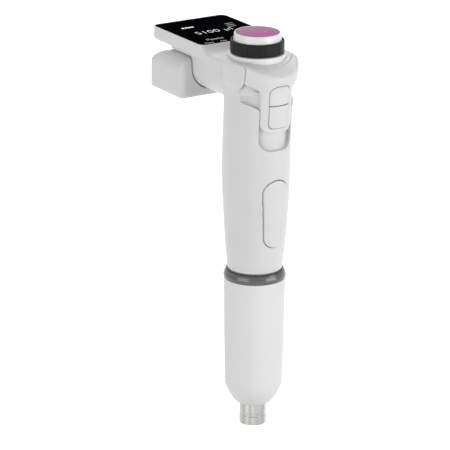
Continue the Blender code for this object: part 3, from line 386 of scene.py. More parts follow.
def sliderPrism(name, grow=0.0, down=0.0, behind=0.0):
    return prism(name, sliderOutline(grow, down), -52, slider["rear"] + behind, "front")


head = {
    "top": 239.9, "plateau": 235.2, "rampFoot": 11.5, "slabFront": 21.5, "back": 79.0, "half": 26.3,
    "corner": 4.5, "wall": 1.7, "backRound": 7.8, "sideRound": 2.4,
    "shelfFall": 0.18, "shelfCurve": 0.0135, "rampPower": 1.7,
    "wellDrop": 2.9, "seatDrop": 1.4, "hairline": 0.03,
}


def headHalf(along):
    front = gripStations[-1][1]
    part = min(max(along / head["slabFront"], 0), 1)
    return front + (head["half"] - front) * part * part * (3 - 2 * part)


# The height that the top keeps under: flat round the dial, then falling ever faster towards the thumb.
def topLimit(along):
    ahead = slider["shelfLine"] - along
    if ahead > 0:
        return head["plateau"] - head["shelfFall"] * ahead - head["shelfCurve"] * ahead**2
    run, climb = head["slabFront"] - head["rampFoot"], head["top"] - head["plateau"]
    up = max(0, along - head["rampFoot"]) / run
    beyond = max(0, along - head["slabFront"])
    return head["plateau"] + 0.05 + climb * up ** head["rampPower"] + 3.0 * beyond


# Everything above the top's own line, set lower by its thickness, for the hollows under it.
def topUnderside(name, thick):
    stations = [11 - 1.5 * i for i in range(36)]
    outline = [(stations[-1], 262), (stations[0], 262)]
    outline += [(along, topLimit(along) - thick) for along in stations]
    return prism(name, outline, -40, 40, "side")


# What is cut off above the top, with the rounded lip that runs along its edge.
def topCutter(name, lip):
    edge = []
    for i in range(97):
        angle = math.pi * i / 96
        edge.append((-gripStations[-1][1] * math.cos(angle), -gripStations[-1][2] * math.sin(angle)))
    sides = [1.5 * i for i in range(1, 17)]
    edge += [(headHalf(along), along) for along in sides]
    edge += [(-headHalf(along), along) for along in reversed(sides)]
    count = len(edge)

    def ring(out):
        points = []
        for i, (x, y) in enumerate(edge):
            before, after = edge[i - 1], edge[(i + 1) % count]
            run = Vector((after[0] - before[0], after[1] - before[1])).normalized()
            points.append((x + run.y * out, y - run.x * out))
        return points

    rows = [[(x, y, 262) for x, y in ring(4)]]
    for out, drop in ((4, lip + 3), (0.4, lip + 0.5)):
        rows.append([(x, y, topLimit(y) - drop) for x, y in ring(out)])
    for k in range(7):
        turn = math.pi / 12 * k
        drop = lip * (1 - math.sin(turn))
        rows.append([(x, y, topLimit(y) - drop) for x, y in ring(lip * (math.cos(turn) - 1))])
    inside = ring(-lip)
    for k in range(1, 19):
        part = 1 - k / 20
        rows.append([(x * part, y * part, topLimit(y * part)) for x, y in inside])
    verts = [corner for row in rows for corner in row]
    return outwards(meshPiece(name, verts, tubeFaces(len(rows), count)))


def pillar(name, radius, low, high, around=128):
    return turned(name, [(0, high, 0), (radius, high, 0), (radius, low, 0), (0, low, 0)], around)


def keyOutline(low, high, inset):
    topRound = keys["topRound"] if high > keys["split"] + 1 else keys["splitRound"]
    footRound = keys["footRound"] if low < keys["split"] - 1 else keys["splitRound"]
    side = keys["half"] - inset
    return rounded(mirrored([(side, high - inset, topRound), (side, low + inset, footRound)]))


# Each shared effect is a node group made once. It gives out masks, values and normals.
def newGroup(name, inputs, outputs):
    group = bpy.data.node_groups.new(name, "ShaderNodeTree")
    for label, kind, value in inputs:
        socket = group.interface.new_socket(label, in_out="INPUT", socket_type=kind)
        if value is not None:
            socket.default_value = value
    for label, kind in outputs:
        group.interface.new_socket(label, in_out="OUTPUT", socket_type=kind)
    start = group.nodes.new("NodeGroupInput")
    end = group.nodes.new("NodeGroupOutput")
    return group, start, end


def node(tree, kind, values=None, **settings):
    made = tree.nodes.new(kind)
    for key, value in settings.items():
        setattr(made, key, value)
    for key, value in (values or {}).items():
        made.inputs[key].default_value = value
    return made


# Fine moulded grain: a bumped normal and a mask that drifts slowly over the surface.
def makeGrainGroup():
    group, start, end = newGroup(
        "mouldedGrain",
        [("Grain Size", "NodeSocketFloat", 3500.0), ("Grain Depth", "NodeSocketFloat", 0.00001),
         ("Drift Size", "NodeSocketFloat", 40.0)],
        [("Normal", "NodeSocketVector"), ("Drift", "NodeSocketFloat"), ("Grain", "NodeSocketFloat")],
    )
    place = node(group, "ShaderNodeTexCoord")
    fine = node(group, "ShaderNodeTexNoise", {"Detail": 3.0, "Roughness": 0.6})
    slow = node(group, "ShaderNodeTexNoise", {"Detail": 2.0, "Roughness": 0.5})
    bump = node(group, "ShaderNodeBump", {"Strength": 0.35})
    link = group.links.new
    link(place.outputs["Object"], fine.inputs["Vector"])
    link(place.outputs["Object"], slow.inputs["Vector"])
    link(start.outputs["Grain Size"], fine.inputs["Scale"])
    link(start.outputs["Drift Size"], slow.inputs["Scale"])
    link(start.outputs["Grain Depth"], bump.inputs["Distance"])
    link(fine.outputs["Fac"], bump.inputs["Height"])
    link(bump.outputs["Normal"], end.inputs["Normal"])
    link(slow.outputs["Fac"], end.inputs["Drift"])
    link(fine.outputs["Fac"], end.inputs["Grain"])
    return group


# Tool marks that run round the pipette's axis, as turning leaves them. When the noise is stretched along
# the axis instead, as on the nozzle, it paints reflection streaks that run lengthwise.
def makeMarksAndStreaksGroup():
    group, start, end = newGroup(
        "turnedMarksAndReflectionStreaks",
        [("Mark Size", "NodeSocketFloat", 2600.0), ("Mark Depth", "NodeSocketFloat", 0.00001),
         ("Stretch", "NodeSocketVector", (0.05, 0.05, 1.0))],
        [("Normal", "NodeSocketVector"), ("Marks", "NodeSocketFloat")],
    )
    place = node(group, "ShaderNodeTexCoord")
    stretch = node(group, "ShaderNodeMapping")
    marks = node(group, "ShaderNodeTexNoise", {"Detail": 4.0, "Roughness": 0.65})
    bump = node(group, "ShaderNodeBump", {"Strength": 0.5})
    link = group.links.new
    link(place.outputs["Object"], stretch.inputs["Vector"])
    link(start.outputs["Stretch"], stretch.inputs["Scale"])
    link(stretch.outputs["Vector"], marks.inputs["Vector"])
    link(start.outputs["Mark Size"], marks.inputs["Scale"])
    link(start.outputs["Mark Depth"], bump.inputs["Distance"])
    link(marks.outputs["Fac"], bump.inputs["Height"])
    link(bump.outputs["Normal"], end.inputs["Normal"])
    link(marks.outputs["Fac"], end.inputs["Marks"])
    return group


grainGroup = makeGrainGroup()
marksAndStreaksGroup = makeMarksAndStreaksGroup()


def newMaterial(name):
    material = bpy.data.materials.new(name)
    material.use_nodes = True
    tree = material.node_tree
    return material, tree, tree.nodes["Principled BSDF"]


def ramp(tree, mask, low, high, fromLow=0.3, fromHigh=0.7):
    limits = {"From Min": fromLow, "From Max": fromHigh, "To Min": low, "To Max": high}
    spread = node(tree, "ShaderNodeMapRange", limits)
    tree.links.new(mask, spread.inputs["Value"])
    return spread.outputs["Result"]


def colorMix(tree, mask, first, second):
    mix = node(tree, "ShaderNodeMix", data_type="RGBA")
    mix.inputs["A"].default_value = (*first, 1)
    mix.inputs["B"].default_value = (*second, 1)
    tree.links.new(mask, mix.inputs["Factor"])
    return mix.outputs["Result"]


plasticFinishes = {
    "whiteShell": {"light": (0.66, 0.66, 0.665), "dark": (0.62, 0.62, 0.625), "rough": (0.36, 0.46),
                   "grain": 2600, "depth": 0.000012, "coat": 0.0},
    "whiteTrim": {"light": (0.76, 0.76, 0.765), "dark": (0.71, 0.71, 0.715), "rough": (0.26, 0.34),
                  "grain": 3800, "depth": 0.000004, "coat": 0.15},
    "whiteBarrel": {"light": (0.73, 0.73, 0.735), "dark": (0.69, 0.69, 0.695), "rough": (0.46, 0.56),
                    "grain": 2600, "depth": 0.000008, "coat": 0.0, "specular": 0.3},
    "darkRing": {"light": (0.022, 0.0225, 0.024), "dark": (0.015, 0.0155, 0.0165), "rough": (0.32, 0.44),
                 "grain": 3000, "depth": 0.00001, "coat": 0.0, "specular": 0.08},
    "collarGrey": {"light": (0.10, 0.10, 0.105), "dark": (0.065, 0.065, 0.07), "rough": (0.16, 0.26),
                   "grain": 3600, "depth": 0.000004, "coat": 0.3},
    "greyPlastic": {"light": (0.32, 0.33, 0.35), "dark": (0.26, 0.27, 0.29), "rough": (0.45, 0.6),
                    "grain": 2200, "depth": 0.000015, "coat": 0.0},
    "sealRubber": {"light": (0.025, 0.025, 0.025), "dark": (0.015, 0.015, 0.015), "rough": (0.6, 0.8),
                   "grain": 2600, "depth": 0.00002, "coat": 0.0},
    "batteryWrap": {"light": (0.06, 0.18, 0.42), "dark": (0.04, 0.14, 0.34), "rough": (0.3, 0.4),
                    "grain": 1500, "depth": 0.00001, "coat": 0.2},
}


def makePlastic(name):
    finish = plasticFinishes[name]
    material, tree, shader = newMaterial(name)
    grain = node(tree, "ShaderNodeGroup", node_tree=grainGroup)
    grain.inputs["Grain Size"].default_value = finish["grain"]
    grain.inputs["Grain Depth"].default_value = finish["depth"]
    tint = colorMix(tree, grain.outputs["Drift"], finish["dark"], finish["light"])
    tree.links.new(tint, shader.inputs["Base Color"])
    tree.links.new(ramp(tree, grain.outputs["Grain"], *finish["rough"]), shader.inputs["Roughness"])
    tree.links.new(grain.outputs["Normal"], shader.inputs["Normal"])
    shader.inputs["Coat Weight"].default_value = finish["coat"]
    shader.inputs["Coat Roughness"].default_value = 0.12
    shader.inputs["Specular IOR Level"].default_value = finish.get("specular", 0.5)
    return material


metalFinishes = {
    # Painted reflection: the nozzle's wide dark and light bands run along its axis and stand in for the
    # streaks that a polished tube reflects.
    "nozzleSteelPaintedStreaks": {"light": (0.58, 0.57, 0.555), "dark": (0.22, 0.215, 0.21), "rough": (0.14, 0.22),
                    "marks": 210, "depth": 0.000001, "stretch": (1.0, 1.0, 0.02)},
    "rodSteel": {"light": (0.62, 0.62, 0.63), "dark": (0.48, 0.48, 0.49), "rough": (0.20, 0.34),
                 "marks": 2200, "depth": 0.000006},
    "brass": {"light": (0.78, 0.56, 0.26), "dark": (0.62, 0.42, 0.17), "rough": (0.24, 0.38),
              "marks": 2000, "depth": 0.00001},
    "aluminium": {"light": (0.72, 0.73, 0.74), "dark": (0.58, 0.59, 0.60), "rough": (0.30, 0.44),
                  "marks": 1800, "depth": 0.00001},
}


def makeMetal(name):
    finish = metalFinishes[name]
    material, tree, shader = newMaterial(name)
    marks = node(tree, "ShaderNodeGroup", node_tree=marksAndStreaksGroup)
    marks.inputs["Mark Size"].default_value = finish["marks"]
    marks.inputs["Mark Depth"].default_value = finish["depth"]
    # On the nozzle the stretch lays the noise along the axis, which paints reflection streaks.
    if "stretch" in finish:
        marks.inputs["Stretch"].default_value = finish["stretch"]
    tint = colorMix(tree, ramp(tree, marks.outputs["Marks"], 0, 1), finish["dark"], finish["light"])
    tree.links.new(tint, shader.inputs["Base Color"])
    tree.links.new(ramp(tree, marks.outputs["Marks"], *finish["rough"]), shader.inputs["Roughness"])
    tree.links.new(marks.outputs["Normal"], shader.inputs["Normal"])
    shader.inputs["Metallic"].default_value = 1.0
    return material


# Paints a near-black band of shadow round the collar's top edge over its grey, for the shade in the gap
# under the handle's foot.
def addCollarShadowBand(material, shadowBandFoot):
    tree = material.node_tree
    shader = tree.nodes["Principled BSDF"]
    base = shader.inputs["Base Color"].links[0].from_socket
    place = node(tree, "ShaderNodeTexCoord")
    apart = node(tree, "ShaderNodeSeparateXYZ")
    tree.links.new(place.outputs["Object"], apart.inputs["Vector"])
    shadowBand = ramp(tree, apart.outputs["Z"], 0, 1, shadowBandFoot - 0.0001, shadowBandFoot + 0.0001)
    # The near-black of the painted shadow band.
    mix = node(tree, "ShaderNodeMix", {"B": (0.008, 0.008, 0.008, 1)}, data_type="RGBA")
    tree.links.new(shadowBand, mix.inputs["Factor"])
    tree.links.new(base, mix.inputs["A"])
    tree.links.new(mix.outputs["Result"], shader.inputs["Base Color"])


def makeGlass():
    material, tree, shader = newMaterial("displayGlass")
    grain = node(tree, "ShaderNodeGroup", node_tree=grainGroup)
    grain.inputs["Grain Size"].default_value = 900
    grain.inputs["Grain Depth"].default_value = 0.0000005
    tint = colorMix(tree, grain.outputs["Drift"], (0.0015, 0.0015, 0.002), (0.003, 0.003, 0.004))
    tree.links.new(tint, shader.inputs["Base Color"])
    tree.links.new(ramp(tree, grain.outputs["Drift"], 0.05, 0.12), shader.inputs["Roughness"])
    shader.inputs["Specular IOR Level"].default_value = 0.0
    return material


# Lit marks behind the window: a plain cool white with a soft fall-off.
def makeGlow(name, color, strength):
    material, tree, shader = newMaterial(name)
    grain = node(tree, "ShaderNodeGroup", node_tree=grainGroup)
    grain.inputs["Drift Size"].default_value = 300
    shade = colorMix(tree, grain.outputs["Drift"], tuple(c * 0.8 for c in color), color)
    tree.links.new(shade, shader.inputs["Base Color"])
    tree.links.new(shade, shader.inputs["Emission Color"])
    shader.inputs["Emission Strength"].default_value = strength
    shader.inputs["Roughness"].default_value = 0.4
    return material


def makeInsert():
    material, tree, shader = newMaterial("pinkInsert")
    place = node(tree, "ShaderNodeTexCoord")
    apart = node(tree, "ShaderNodeSeparateXYZ")
    tree.links.new(place.outputs["Object"], apart.inputs["Vector"])
    # Painted sheen: the disc is saturated pink at its front edge and turns paler and greyer towards the
    # back.
    across = ramp(tree, apart.outputs["Y"], 0, 1, axisFoot.y - 0.011, axisFoot.y + 0.009)
    grain = node(tree, "ShaderNodeGroup", node_tree=grainGroup)
    grain.inputs["Grain Size"].default_value = 3000
    grain.inputs["Grain Depth"].default_value = 0.000002
    tint = colorMix(tree, across, (0.46, 0.075, 0.33), (0.35, 0.19, 0.26))
    tree.links.new(tint, shader.inputs["Base Color"])
    tree.links.new(ramp(tree, grain.outputs["Drift"], 0.18, 0.30), shader.inputs["Roughness"])
    tree.links.new(grain.outputs["Normal"], shader.inputs["Normal"])
    shader.inputs["Specular IOR Level"].default_value = 0.03
    return material


# Board lacquer over faint copper runs.
def makeBoard():
    material, tree, shader = newMaterial("boardGreen")
    place = node(tree, "ShaderNodeTexCoord")
    layout = {"Scale": 260.0, "Mortar Size": 0.06, "Brick Width": 1.4, "Row Height": 0.35}
    runs = node(tree, "ShaderNodeTexBrick", layout)
    grain = node(tree, "ShaderNodeGroup", node_tree=grainGroup)
    grain.inputs["Grain Size"].default_value = 2400
    bump = node(tree, "ShaderNodeBump", {"Strength": 0.4, "Distance": 0.00003})
    link = tree.links.new
    link(place.outputs["Object"], runs.inputs["Vector"])
    tint = colorMix(tree, runs.outputs["Fac"], (0.02, 0.16, 0.08), (0.10, 0.30, 0.10))
    link(tint, shader.inputs["Base Color"])
    link(ramp(tree, grain.outputs["Grain"], 0.3, 0.45), shader.inputs["Roughness"])
    link(runs.outputs["Fac"], bump.inputs["Height"])
    link(bump.outputs["Normal"], shader.inputs["Normal"])
    return material


paints = {name: makePlastic(name) for name in plasticFinishes}
paints.update({name: makeMetal(name) for name in metalFinishes})
# Painted shadow: the collar's top 0.9 mm is painted near black.
addCollarShadowBand(paints["collarGrey"], axisFoot.z + 0.1010)
paints["displayGlass"] = makeGlass()
paints["pinkInsert"] = makeInsert()
paints["boardGreen"] = makeBoard()
paints["litWhite"] = makeGlow("litWhite", (0.70, 0.72, 0.74), 0.5)
paints["litDim"] = makeGlow("litDim", (0.30, 0.31, 0.33), 0.35)
print("materials made:", len(paints))

# What every CAD node wears, whether it shows or a piece stands for it.
slotPaints = {
    "white_shell": "whiteShell",
    "white_trim": "whiteTrim",
    "dark_ring": "darkRing",
    "collar_grey": "collarGrey",
    "black_glass": "displayGlass",
    "pink_insert": "pinkInsert",
    "nozzle_steel": "nozzleSteelPaintedStreaks",
    "rod_steel": "rodSteel",
    "brass": "brass",
    "grey_plastic": "greyPlastic",
    "aluminium": "aluminium",
    "board_green": "boardGreen",
    "seal_rubber": "sealRubber",
    "battery_wrap": "batteryWrap",
}
for entry in frame["record"]["subparts"]:
    worn = frame["nodes"][entry["node"]].data.materials
    worn.clear()
    worn.append(paints[slotPaints[entry["material_slot"]]])


handle = {
    "foot": 102.2, "seam": 231.0, "wall": 1.7, "neckHalf": 18.9, "neckLow": 205.7, "neckRound": 14.5,
    "neckBack": 44.6, "tailBack": 67.0, "tailLow": 226.6,
    "bossLevel": 206.4, "bossHalf": 3.2, "bossDown": 11.6, "bossUp": 3.4,
}
release = {
    "top": 163.6, "foot": 119.8, "topRadius": 8.8, "footRadius": 7.2,
    "proud": 0.6, "depth": 3.2, "gap": 0.4,
}


def neckOutline(inset, top):
    half, low = handle["neckHalf"] - inset, handle["neckLow"] + inset
    return rounded(mirrored([(half, top, 0), (half, low, handle["neckRound"] - inset)]), 32)


# What the recess for the slider leaves standing: the grip's core, and the round well above the ledge.
def recessCore(name, inset, wallRadius, step, ledge):
    low = slider["tongueFoot"] - slider["travel"] - 10
    core = gripForm(name, low, step, inset)
    return join(core, pillar(name + "Well", wallRadius, ledge, 250))


def releaseOutline(inset):
    points = []
    ends = (("topRadius", release["top"] - release["topRadius"], 0),
            ("footRadius", release["foot"] + release["footRadius"], math.pi))
    for key, level, start in ends:
        radius = release[key] - inset
        for i in range(40):
            angle = start + math.pi * i / 39
            points.append((radius * math.cos(angle), level + radius * math.sin(angle)))
    return points


def makeHandle():
    above = handle["seam"] + 2.5
    shell = gripForm("handleShell", handle["foot"], above)
    join(shell, prism("neck", neckOutline(0, above), 0, handle["neckBack"], "front"))
    half, back = handle["neckHalf"], handle["tailBack"]
    join(shell, box("tail", (-half, 40, handle["tailLow"]), (half, back, above)))
    cavity = gripForm("cavity", handle["foot"] - 4, above + 4, handle["wall"])
    inside = neckOutline(handle["wall"], above + 3)
    join(cavity, prism("neckCavity", inside, 0, handle["neckBack"] + 1, "front"))
    half, back = half - handle["wall"], back - handle["wall"]
    join(cavity, box("tray", (-half, 38, handle["tailLow"] + handle["wall"]), (half, back, above + 2)))
    cut(shell, cavity)
    panel = sliderPrism("panel", 1.6, slider["travel"], 3.0)
    keep(panel, gripForm("panelLimit", 170, above - 0.1, 0.6))
    under = topLimit(slider["recessDepth"] - gripSizes(215)[1]) - slider["shelfThick"]
    step = under - slider["travel"] - gap
    well = slider["shelfInner"] - 0.6
    floorDepth = slider["recessDepth"] + slider["recessFloor"]
    floor = slider["recessFloor"]
    ledge = slider["ledge"]
    cut(panel, recessCore("recessInner", floorDepth, well - floor, step - floor, ledge + floor))
    join(shell, panel)
    pocket = sliderPrism("pocket", gap, slider["travel"], 0.2)
    cut(pocket, recessCore("recessOuter", slider["recessDepth"], well, step, ledge))
    cut(shell, pocket)
    across, level = handle["bossHalf"], handle["bossLevel"]
    low, high = (-across, -30, level - handle["bossDown"]), (across, -16, level + handle["bossUp"])
    cut(shell, box("bossSlot", low, high))
    cut(shell, prism("releaseWindow", releaseOutline(0), -44, -14, "front"))
    moulded(shell, 0.42, 3, 190000)
    trimmed(shell, handle["seam"], False)
    return settle(shadeSmooth(shell, 50), "handle", paints["whiteShell"], "white_shell", "handle_shell")


def makeRelease():
    button = gripForm("releaseButton", 114, 170, -release["proud"], every=1.0)
    keep(button, prism("buttonPrism", releaseOutline(release["gap"]), -38, -14, "front"))
    cut(button, gripForm("buttonBack", 110, 174, release["depth"]))
    moulded(button, 0.3, 4)
    return settle(shadeSmooth(button, 50), "release", paints["whiteShell"], "white_shell", "release_button")


def makeSlider():
    piece = gripForm("ejectorSlider", 185, 238.5)
    keep(piece, sliderPrism("sliderPrism"))
    inner = gripForm("sliderInner", 180, 236.5, slider["skin"])
    cut(inner, topUnderside("underside", slider["shelfThick"]))
    coverWay = pillar("coverWay", slider["shelfInner"], 226.5, 250, 124)
    cut(piece, inner, topCutter("shelf", slider["lip"]), coverWay)
    pocket = prism("keyPocket", keyOutline(keys["foot"], keys["top"], 0), -45, -15, "front")
    cut(pocket, gripForm("pocketFloor", 180, 240, keys["pocket"]))
    cut(piece, pocket)
    moulded(piece, 0.3, 3, 190000)
    return settle(shadeSmooth(piece, 50), "ejector", paints["whiteShell"], "white_shell", "ejector_slider")


def makeKey(name, low, high, body, cadNode, dash):
    key = gripForm(name, 190, 230, -keys["proud"], every=1.0)
    keep(key, prism(name + "Prism", keyOutline(low, high, gap), -40, -18, "front"))
    cut(key, gripForm(name + "Back", 186, 234, keys["inner"]))
    across, rise = keys["dashHalf"], keys["dashThick"] / 2
    mark = rounded([(across, dash + rise, 0.2), (across, dash - rise, 0.2),
                    (-across, dash - rise, 0.2), (-across, dash + rise, 0.2)])
    groove = prism(name + "Dash", mark, -40, -18, "front")
    cut(groove, gripForm(name + "DashFloor", 186, 234, -keys["proud"] + keys["dashDepth"]))
    cut(key, groove)
    moulded(key, 0.2, 3)
    return settle(shadeSmooth(key, 50), body, paints["whiteShell"], "white_shell", cadNode)


makeHandle()
print("handle done")
makeRelease()
makeSlider()
makeKey("upperKey", keys["split"], keys["top"], "upper_key", "key_up", keys["upperDash"])
makeKey("lowerKey", keys["foot"], keys["split"], "lower_key", "key_down", keys["lowerDash"])
print("slider and keys done")

dial = {
    "radius": 16.3, "low": 237.9, "high": 245.7, "ribs": 10, "ribDepth": 0.42,
    "flange": 17.4, "skirt": 1.35, "hub": 12.8, "hubTop": 242.6, "hubFoot": 229.6,
    "capTop": 250, "capRecess": 1.5, "insertThick": 1.35,
}
glass = {
    "half": 25.4, "front": 22.1, "back": 77.8, "thick": 1.2, "corner": 3.5, "ledge": 1.8, "fit": 0.15,
    "panel": 2.2, "board": 1.2,
}


def headOutline():
    halfWidth, front = gripStations[-1][1:3]
    points = []
    for i in range(65):
        angle = math.pi * i / 64
        points.append((-halfWidth * math.cos(angle), -front * math.sin(angle)))
    sides = [head["slabFront"] * i / 16 for i in range(1, 17)]
    points += [(headHalf(along), along) for along in sides]
    for turn in (0, 1):
        side = 1 - 2 * turn
        for i in range(11):
            angle = math.pi / 2 * (turn + i / 10)
            points.append((
                side * (head["half"] - head["corner"]) + head["corner"] * math.cos(angle),
                head["back"] - head["corner"] + head["corner"] * math.sin(angle),
            ))
    points += [(-headHalf(along), along) for along in reversed(sides)]
    return points


def glassOutline(halfWidth, grow):
    return rounded([
        (halfWidth, glass["front"] - grow, glass["corner"]),
        (-halfWidth, glass["front"] - grow, glass["corner"]),
        (-halfWidth, glass["back"] + grow, glass["corner"]),
        (halfWidth, glass["back"] + grow, glass["corner"]),
    ])


# What rounds the slab's lower side edge, from nothing beside the dial to its full radius behind.
def slabScoop(name, side):
    verts = []
    steps = 10
    stations = [18 + 1.5 * i for i in range(12)] + [60, 84]
    for along in stations:
        part = min(max((along - 19) / 16, 0), 1)
        radius = 0.05 + head["sideRound"] * part * part * (3 - 2 * part)
        edge = headHalf(along)
        low = handle["seam"] + head["hairline"]
        section = [(edge + 4, low - 5), (edge + 4, low + radius)]
        for i in range(steps + 1):
            turn = math.pi / 2 * i / steps
            out, drop = radius * math.cos(turn), radius * math.sin(turn)
            section.append((edge - radius + out, low + radius - drop))
        section.append((edge - radius, low - 5))
        verts += [(side * across, along, height) for across, height in section]
    return outwards(meshPiece(name, verts, tubeFaces(len(stations), steps + 4)))


def makeCover():
    seam = handle["seam"] + head["hairline"]
    cover = prism("topCover", headOutline(), seam - 2.5, head["top"])
    run, climb = head["slabFront"] - head["rampFoot"], head["top"] - head["plateau"]
    slope = [(head["slabFront"] + 0.4, 250), (-40, 250), (-40, head["plateau"])]
    for k in range(15):
        level = head["plateau"] + climb * (k / 14) ** head["rampPower"]
        slope.append((head["rampFoot"] + run * k / 14, level))
    slope.append((head["slabFront"] + 0.4, head["top"] + 0.3))
    cut(cover, prism("ramp", slope, -40, 40, "side"))
    start, middle = head["back"] - head["backRound"], seam + head["backRound"]
    turns = [math.pi / 2 * i / 16 for i in range(17)]
    rise = [(start, 225)]
    reach = head["backRound"]
    rise += [(start + reach * math.sin(t), middle - reach * math.cos(t)) for t in turns]
    rise += [(90, middle), (90, 225)]
    cut(cover, prism("slabRise", rise, -40, 40, "side"))
    cut(cover, slabScoop("scoopLeft", -1), slabScoop("scoopRight", 1))
    across = slider["wingHalf"] + gap
    front = box("frontRegion", (-across, -50, 220), (across, slider["rear"] + 0.2, 260))
    cut(front, pillar("shelfWell", slider["shelfInner"] - 0.08, 210, 270))
    cut(cover, front, topCutter("plateauEdge", slider["lip"]))
    bed = head["top"] - glass["thick"] - gap
    seat = glassOutline(glass["half"] + glass["fit"], glass["fit"])
    cut(cover, prism("glassSeat", seat, bed, 250))
    floorHeight = bed - glass["panel"] - glass["board"] - 2 * gap
    pocket = glassOutline(glass["half"] - glass["ledge"], -glass["ledge"])
    cut(cover, prism("displayPocket", pocket, floorHeight, 250))
    radius = slider["shelfInner"] - gap - head["wall"]
    bends = [math.pi * i / 64 for i in range(65)]
    well = [(-radius * math.cos(bend), -radius * math.sin(bend)) for bend in bends]
    well += [(radius, 17), (-radius, 17)]
    headWell = prism("headWell", well, 215, head["plateau"] - head["wellDrop"])
    cut(headWell, topUnderside("wellTop", head["wall"]))
    seatFloor = head["plateau"] - head["seatDrop"]
    cut(cover, headWell, pillar("flangeSeat", dial["flange"] + 0.05, seatFloor, 238, 122))
    cut(cover, box("cableWay", (-8, 24, 220), (8, 38, floorHeight + 1)))
    cut(cover, pillar("hubWay", 13.1, 225, 238))
    moulded(cover, 0.34, 3, 190000)
    trimmed(cover, seam, True)
    return settle(shadeSmooth(cover, 50), "handle", paints["whiteShell"], "white_shell", "top_cover")


def makeGlassPane():
    outline = glassOutline(glass["half"], 0)
    pane = prism("displayWindow", outline, head["top"] - glass["thick"], head["top"])
    softEdges(pane, 0.2)
    return settle(shadeSmooth(pane), "handle", paints["displayGlass"], "black_glass", "display_glass")


housing = {
    "half": 27.5, "front": 42.4, "back": 80.4, "foot": 201.0, "top": 226.2, "wall": 2.2,
    "sideRound": 9.0, "backRound": 16.0, "frontRound": 2.8, "footRound": 2.5, "cornerRound": 5.0,
}


# The form that the block's front, side and top outlines share, moved in by an inset.
def housingForm(name, inset):
    half, front, back = housing["half"] - inset, housing["front"] + inset, housing["back"] - inset
    foot, top = housing["foot"] + inset, housing["top"] - inset

    def left(key):
        return max(housing[key] - inset, 0.3)

    face = rounded(mirrored([(half, top, left("sideRound")), (half, foot, left("footRound"))]), 14)
    profile = rounded([
        (back, top, left("backRound")), (back, foot, left("footRound")),
        (front, foot, left("footRound")), (front, top, left("frontRound")),
    ], 14)
    corners = ((half, front), (-half, front), (-half, back), (half, back))
    plan = rounded([(x, y, left("cornerRound")) for x, y in corners], 12)
    form = prism(name, face, front, back, "front")
    sides = prism(name + "Profile", profile, -40, 40, "side")
    return keep(form, sides, prism(name + "Plan", plan, 190, 240))


def makeHousing():
    block = housingForm("batteryHousing", 0)
    bay = housingForm("batteryBay", housing["wall"])
    cut(block, bay, prism("neckWay", neckOutline(-0.55, 240), 30, housing["front"] + 4, "front"))
    moulded(block, 0.36, 4, 120000)
    return settle(shadeSmooth(block, 50), "handle", paints["whiteShell"], "white_shell", "battery_housing")


makeCover()
makeGlassPane()
makeHousing()
print("head and battery housing done")


def makeDial():
    flangeTop, flangeFoot = dial["low"] - gap, head["plateau"] - dial["skirt"]
    base = turned("dialBase", [
        (dial["hub"], dial["hubTop"], 0.3), (dial["hub"], flangeTop, 0), (dial["flange"], flangeTop, 0.8),
        (dial["flange"], flangeFoot, 0.2), (dial["hub"], flangeFoot, 0),
        (dial["hub"], dial["hubFoot"], 0.2), (10.3, dial["hubFoot"], 0.2), (10.3, dial["hubTop"], 0.2),
    ], 160)
    settle(shadeSmooth(base), "handle", paints["whiteTrim"], "white_trim", "dial_base")

    def ribbed(radius, height, angle):
        if radius < 15.7:
            return radius
        turn = (angle * dial["ribs"] / (2 * math.pi)) % 1
        off = min(turn, 1 - turn) * 2 * math.pi * dial["radius"] / dial["ribs"]
        return radius - dial["ribDepth"] * math.exp(-(off / dial["ribDepth"]) ** 4)

    ring = turned("dialRing", [
        (dial["radius"], dial["high"], 1.0), (dial["radius"], dial["low"], 0.5), (13.0, dial["low"], 0.1),
        (13.0, dial["hubTop"], 0.1), (15.1, dial["hubTop"], 0.1), (15.1, dial["high"], 0.3),
    ], 480, ribbed)
    settle(shadeSmooth(ring), "dial", paints["darkRing"], "dark_ring", "dial_ring")
    top, seat = dial["capTop"], dial["capTop"] - dial["capRecess"]
    cap = turned("dialCap", [
        (0, seat, 0), (13.2, seat, 0.1), (13.2, top, 0.15), (13.9, top, 0.5), (14.8, 243.7, 0.4),
        (10.0, 243.7, 0.1), (10.0, 236.0, 0.2), (0, 236.0, 0),
    ], 160)
    settle(shadeSmooth(cap), "press_cap", paints["whiteTrim"], "white_trim", "dial_cap")
    face, back = seat + dial["insertThick"], seat + 0.3
    profile = [(0, face, 0), (13.1, face, 0.25), (13.1, back, 0.1), (0, back, 0)]
    disc = turned("capInsert", profile, 160)
    settle(shadeSmooth(disc), "press_cap", paints["pinkInsert"], "pink_insert", "cap_insert")


makeDial()
print("dial done")

barrel = {
    "rim": 14.0, "rimRadius": 9.5, "shoulder": 26.0, "shoulderRadius": 17.65, "top": 95.8,
    "topRadius": 18.9, "wall": 1.6, "diskLow": 88, "diskHigh": 91, "diskHole": 12.3,
}


def sleeveRadius(height):
    if height < barrel["shoulder"]:
        part = (height - barrel["rim"]) / (barrel["shoulder"] - barrel["rim"])
        return barrel["rimRadius"] + (barrel["shoulderRadius"] - barrel["rimRadius"]) * part**0.62
    part = (height - barrel["shoulder"]) / (barrel["top"] - barrel["shoulder"])
    return barrel["shoulderRadius"] + (barrel["topRadius"] - barrel["shoulderRadius"]) * part**0.8


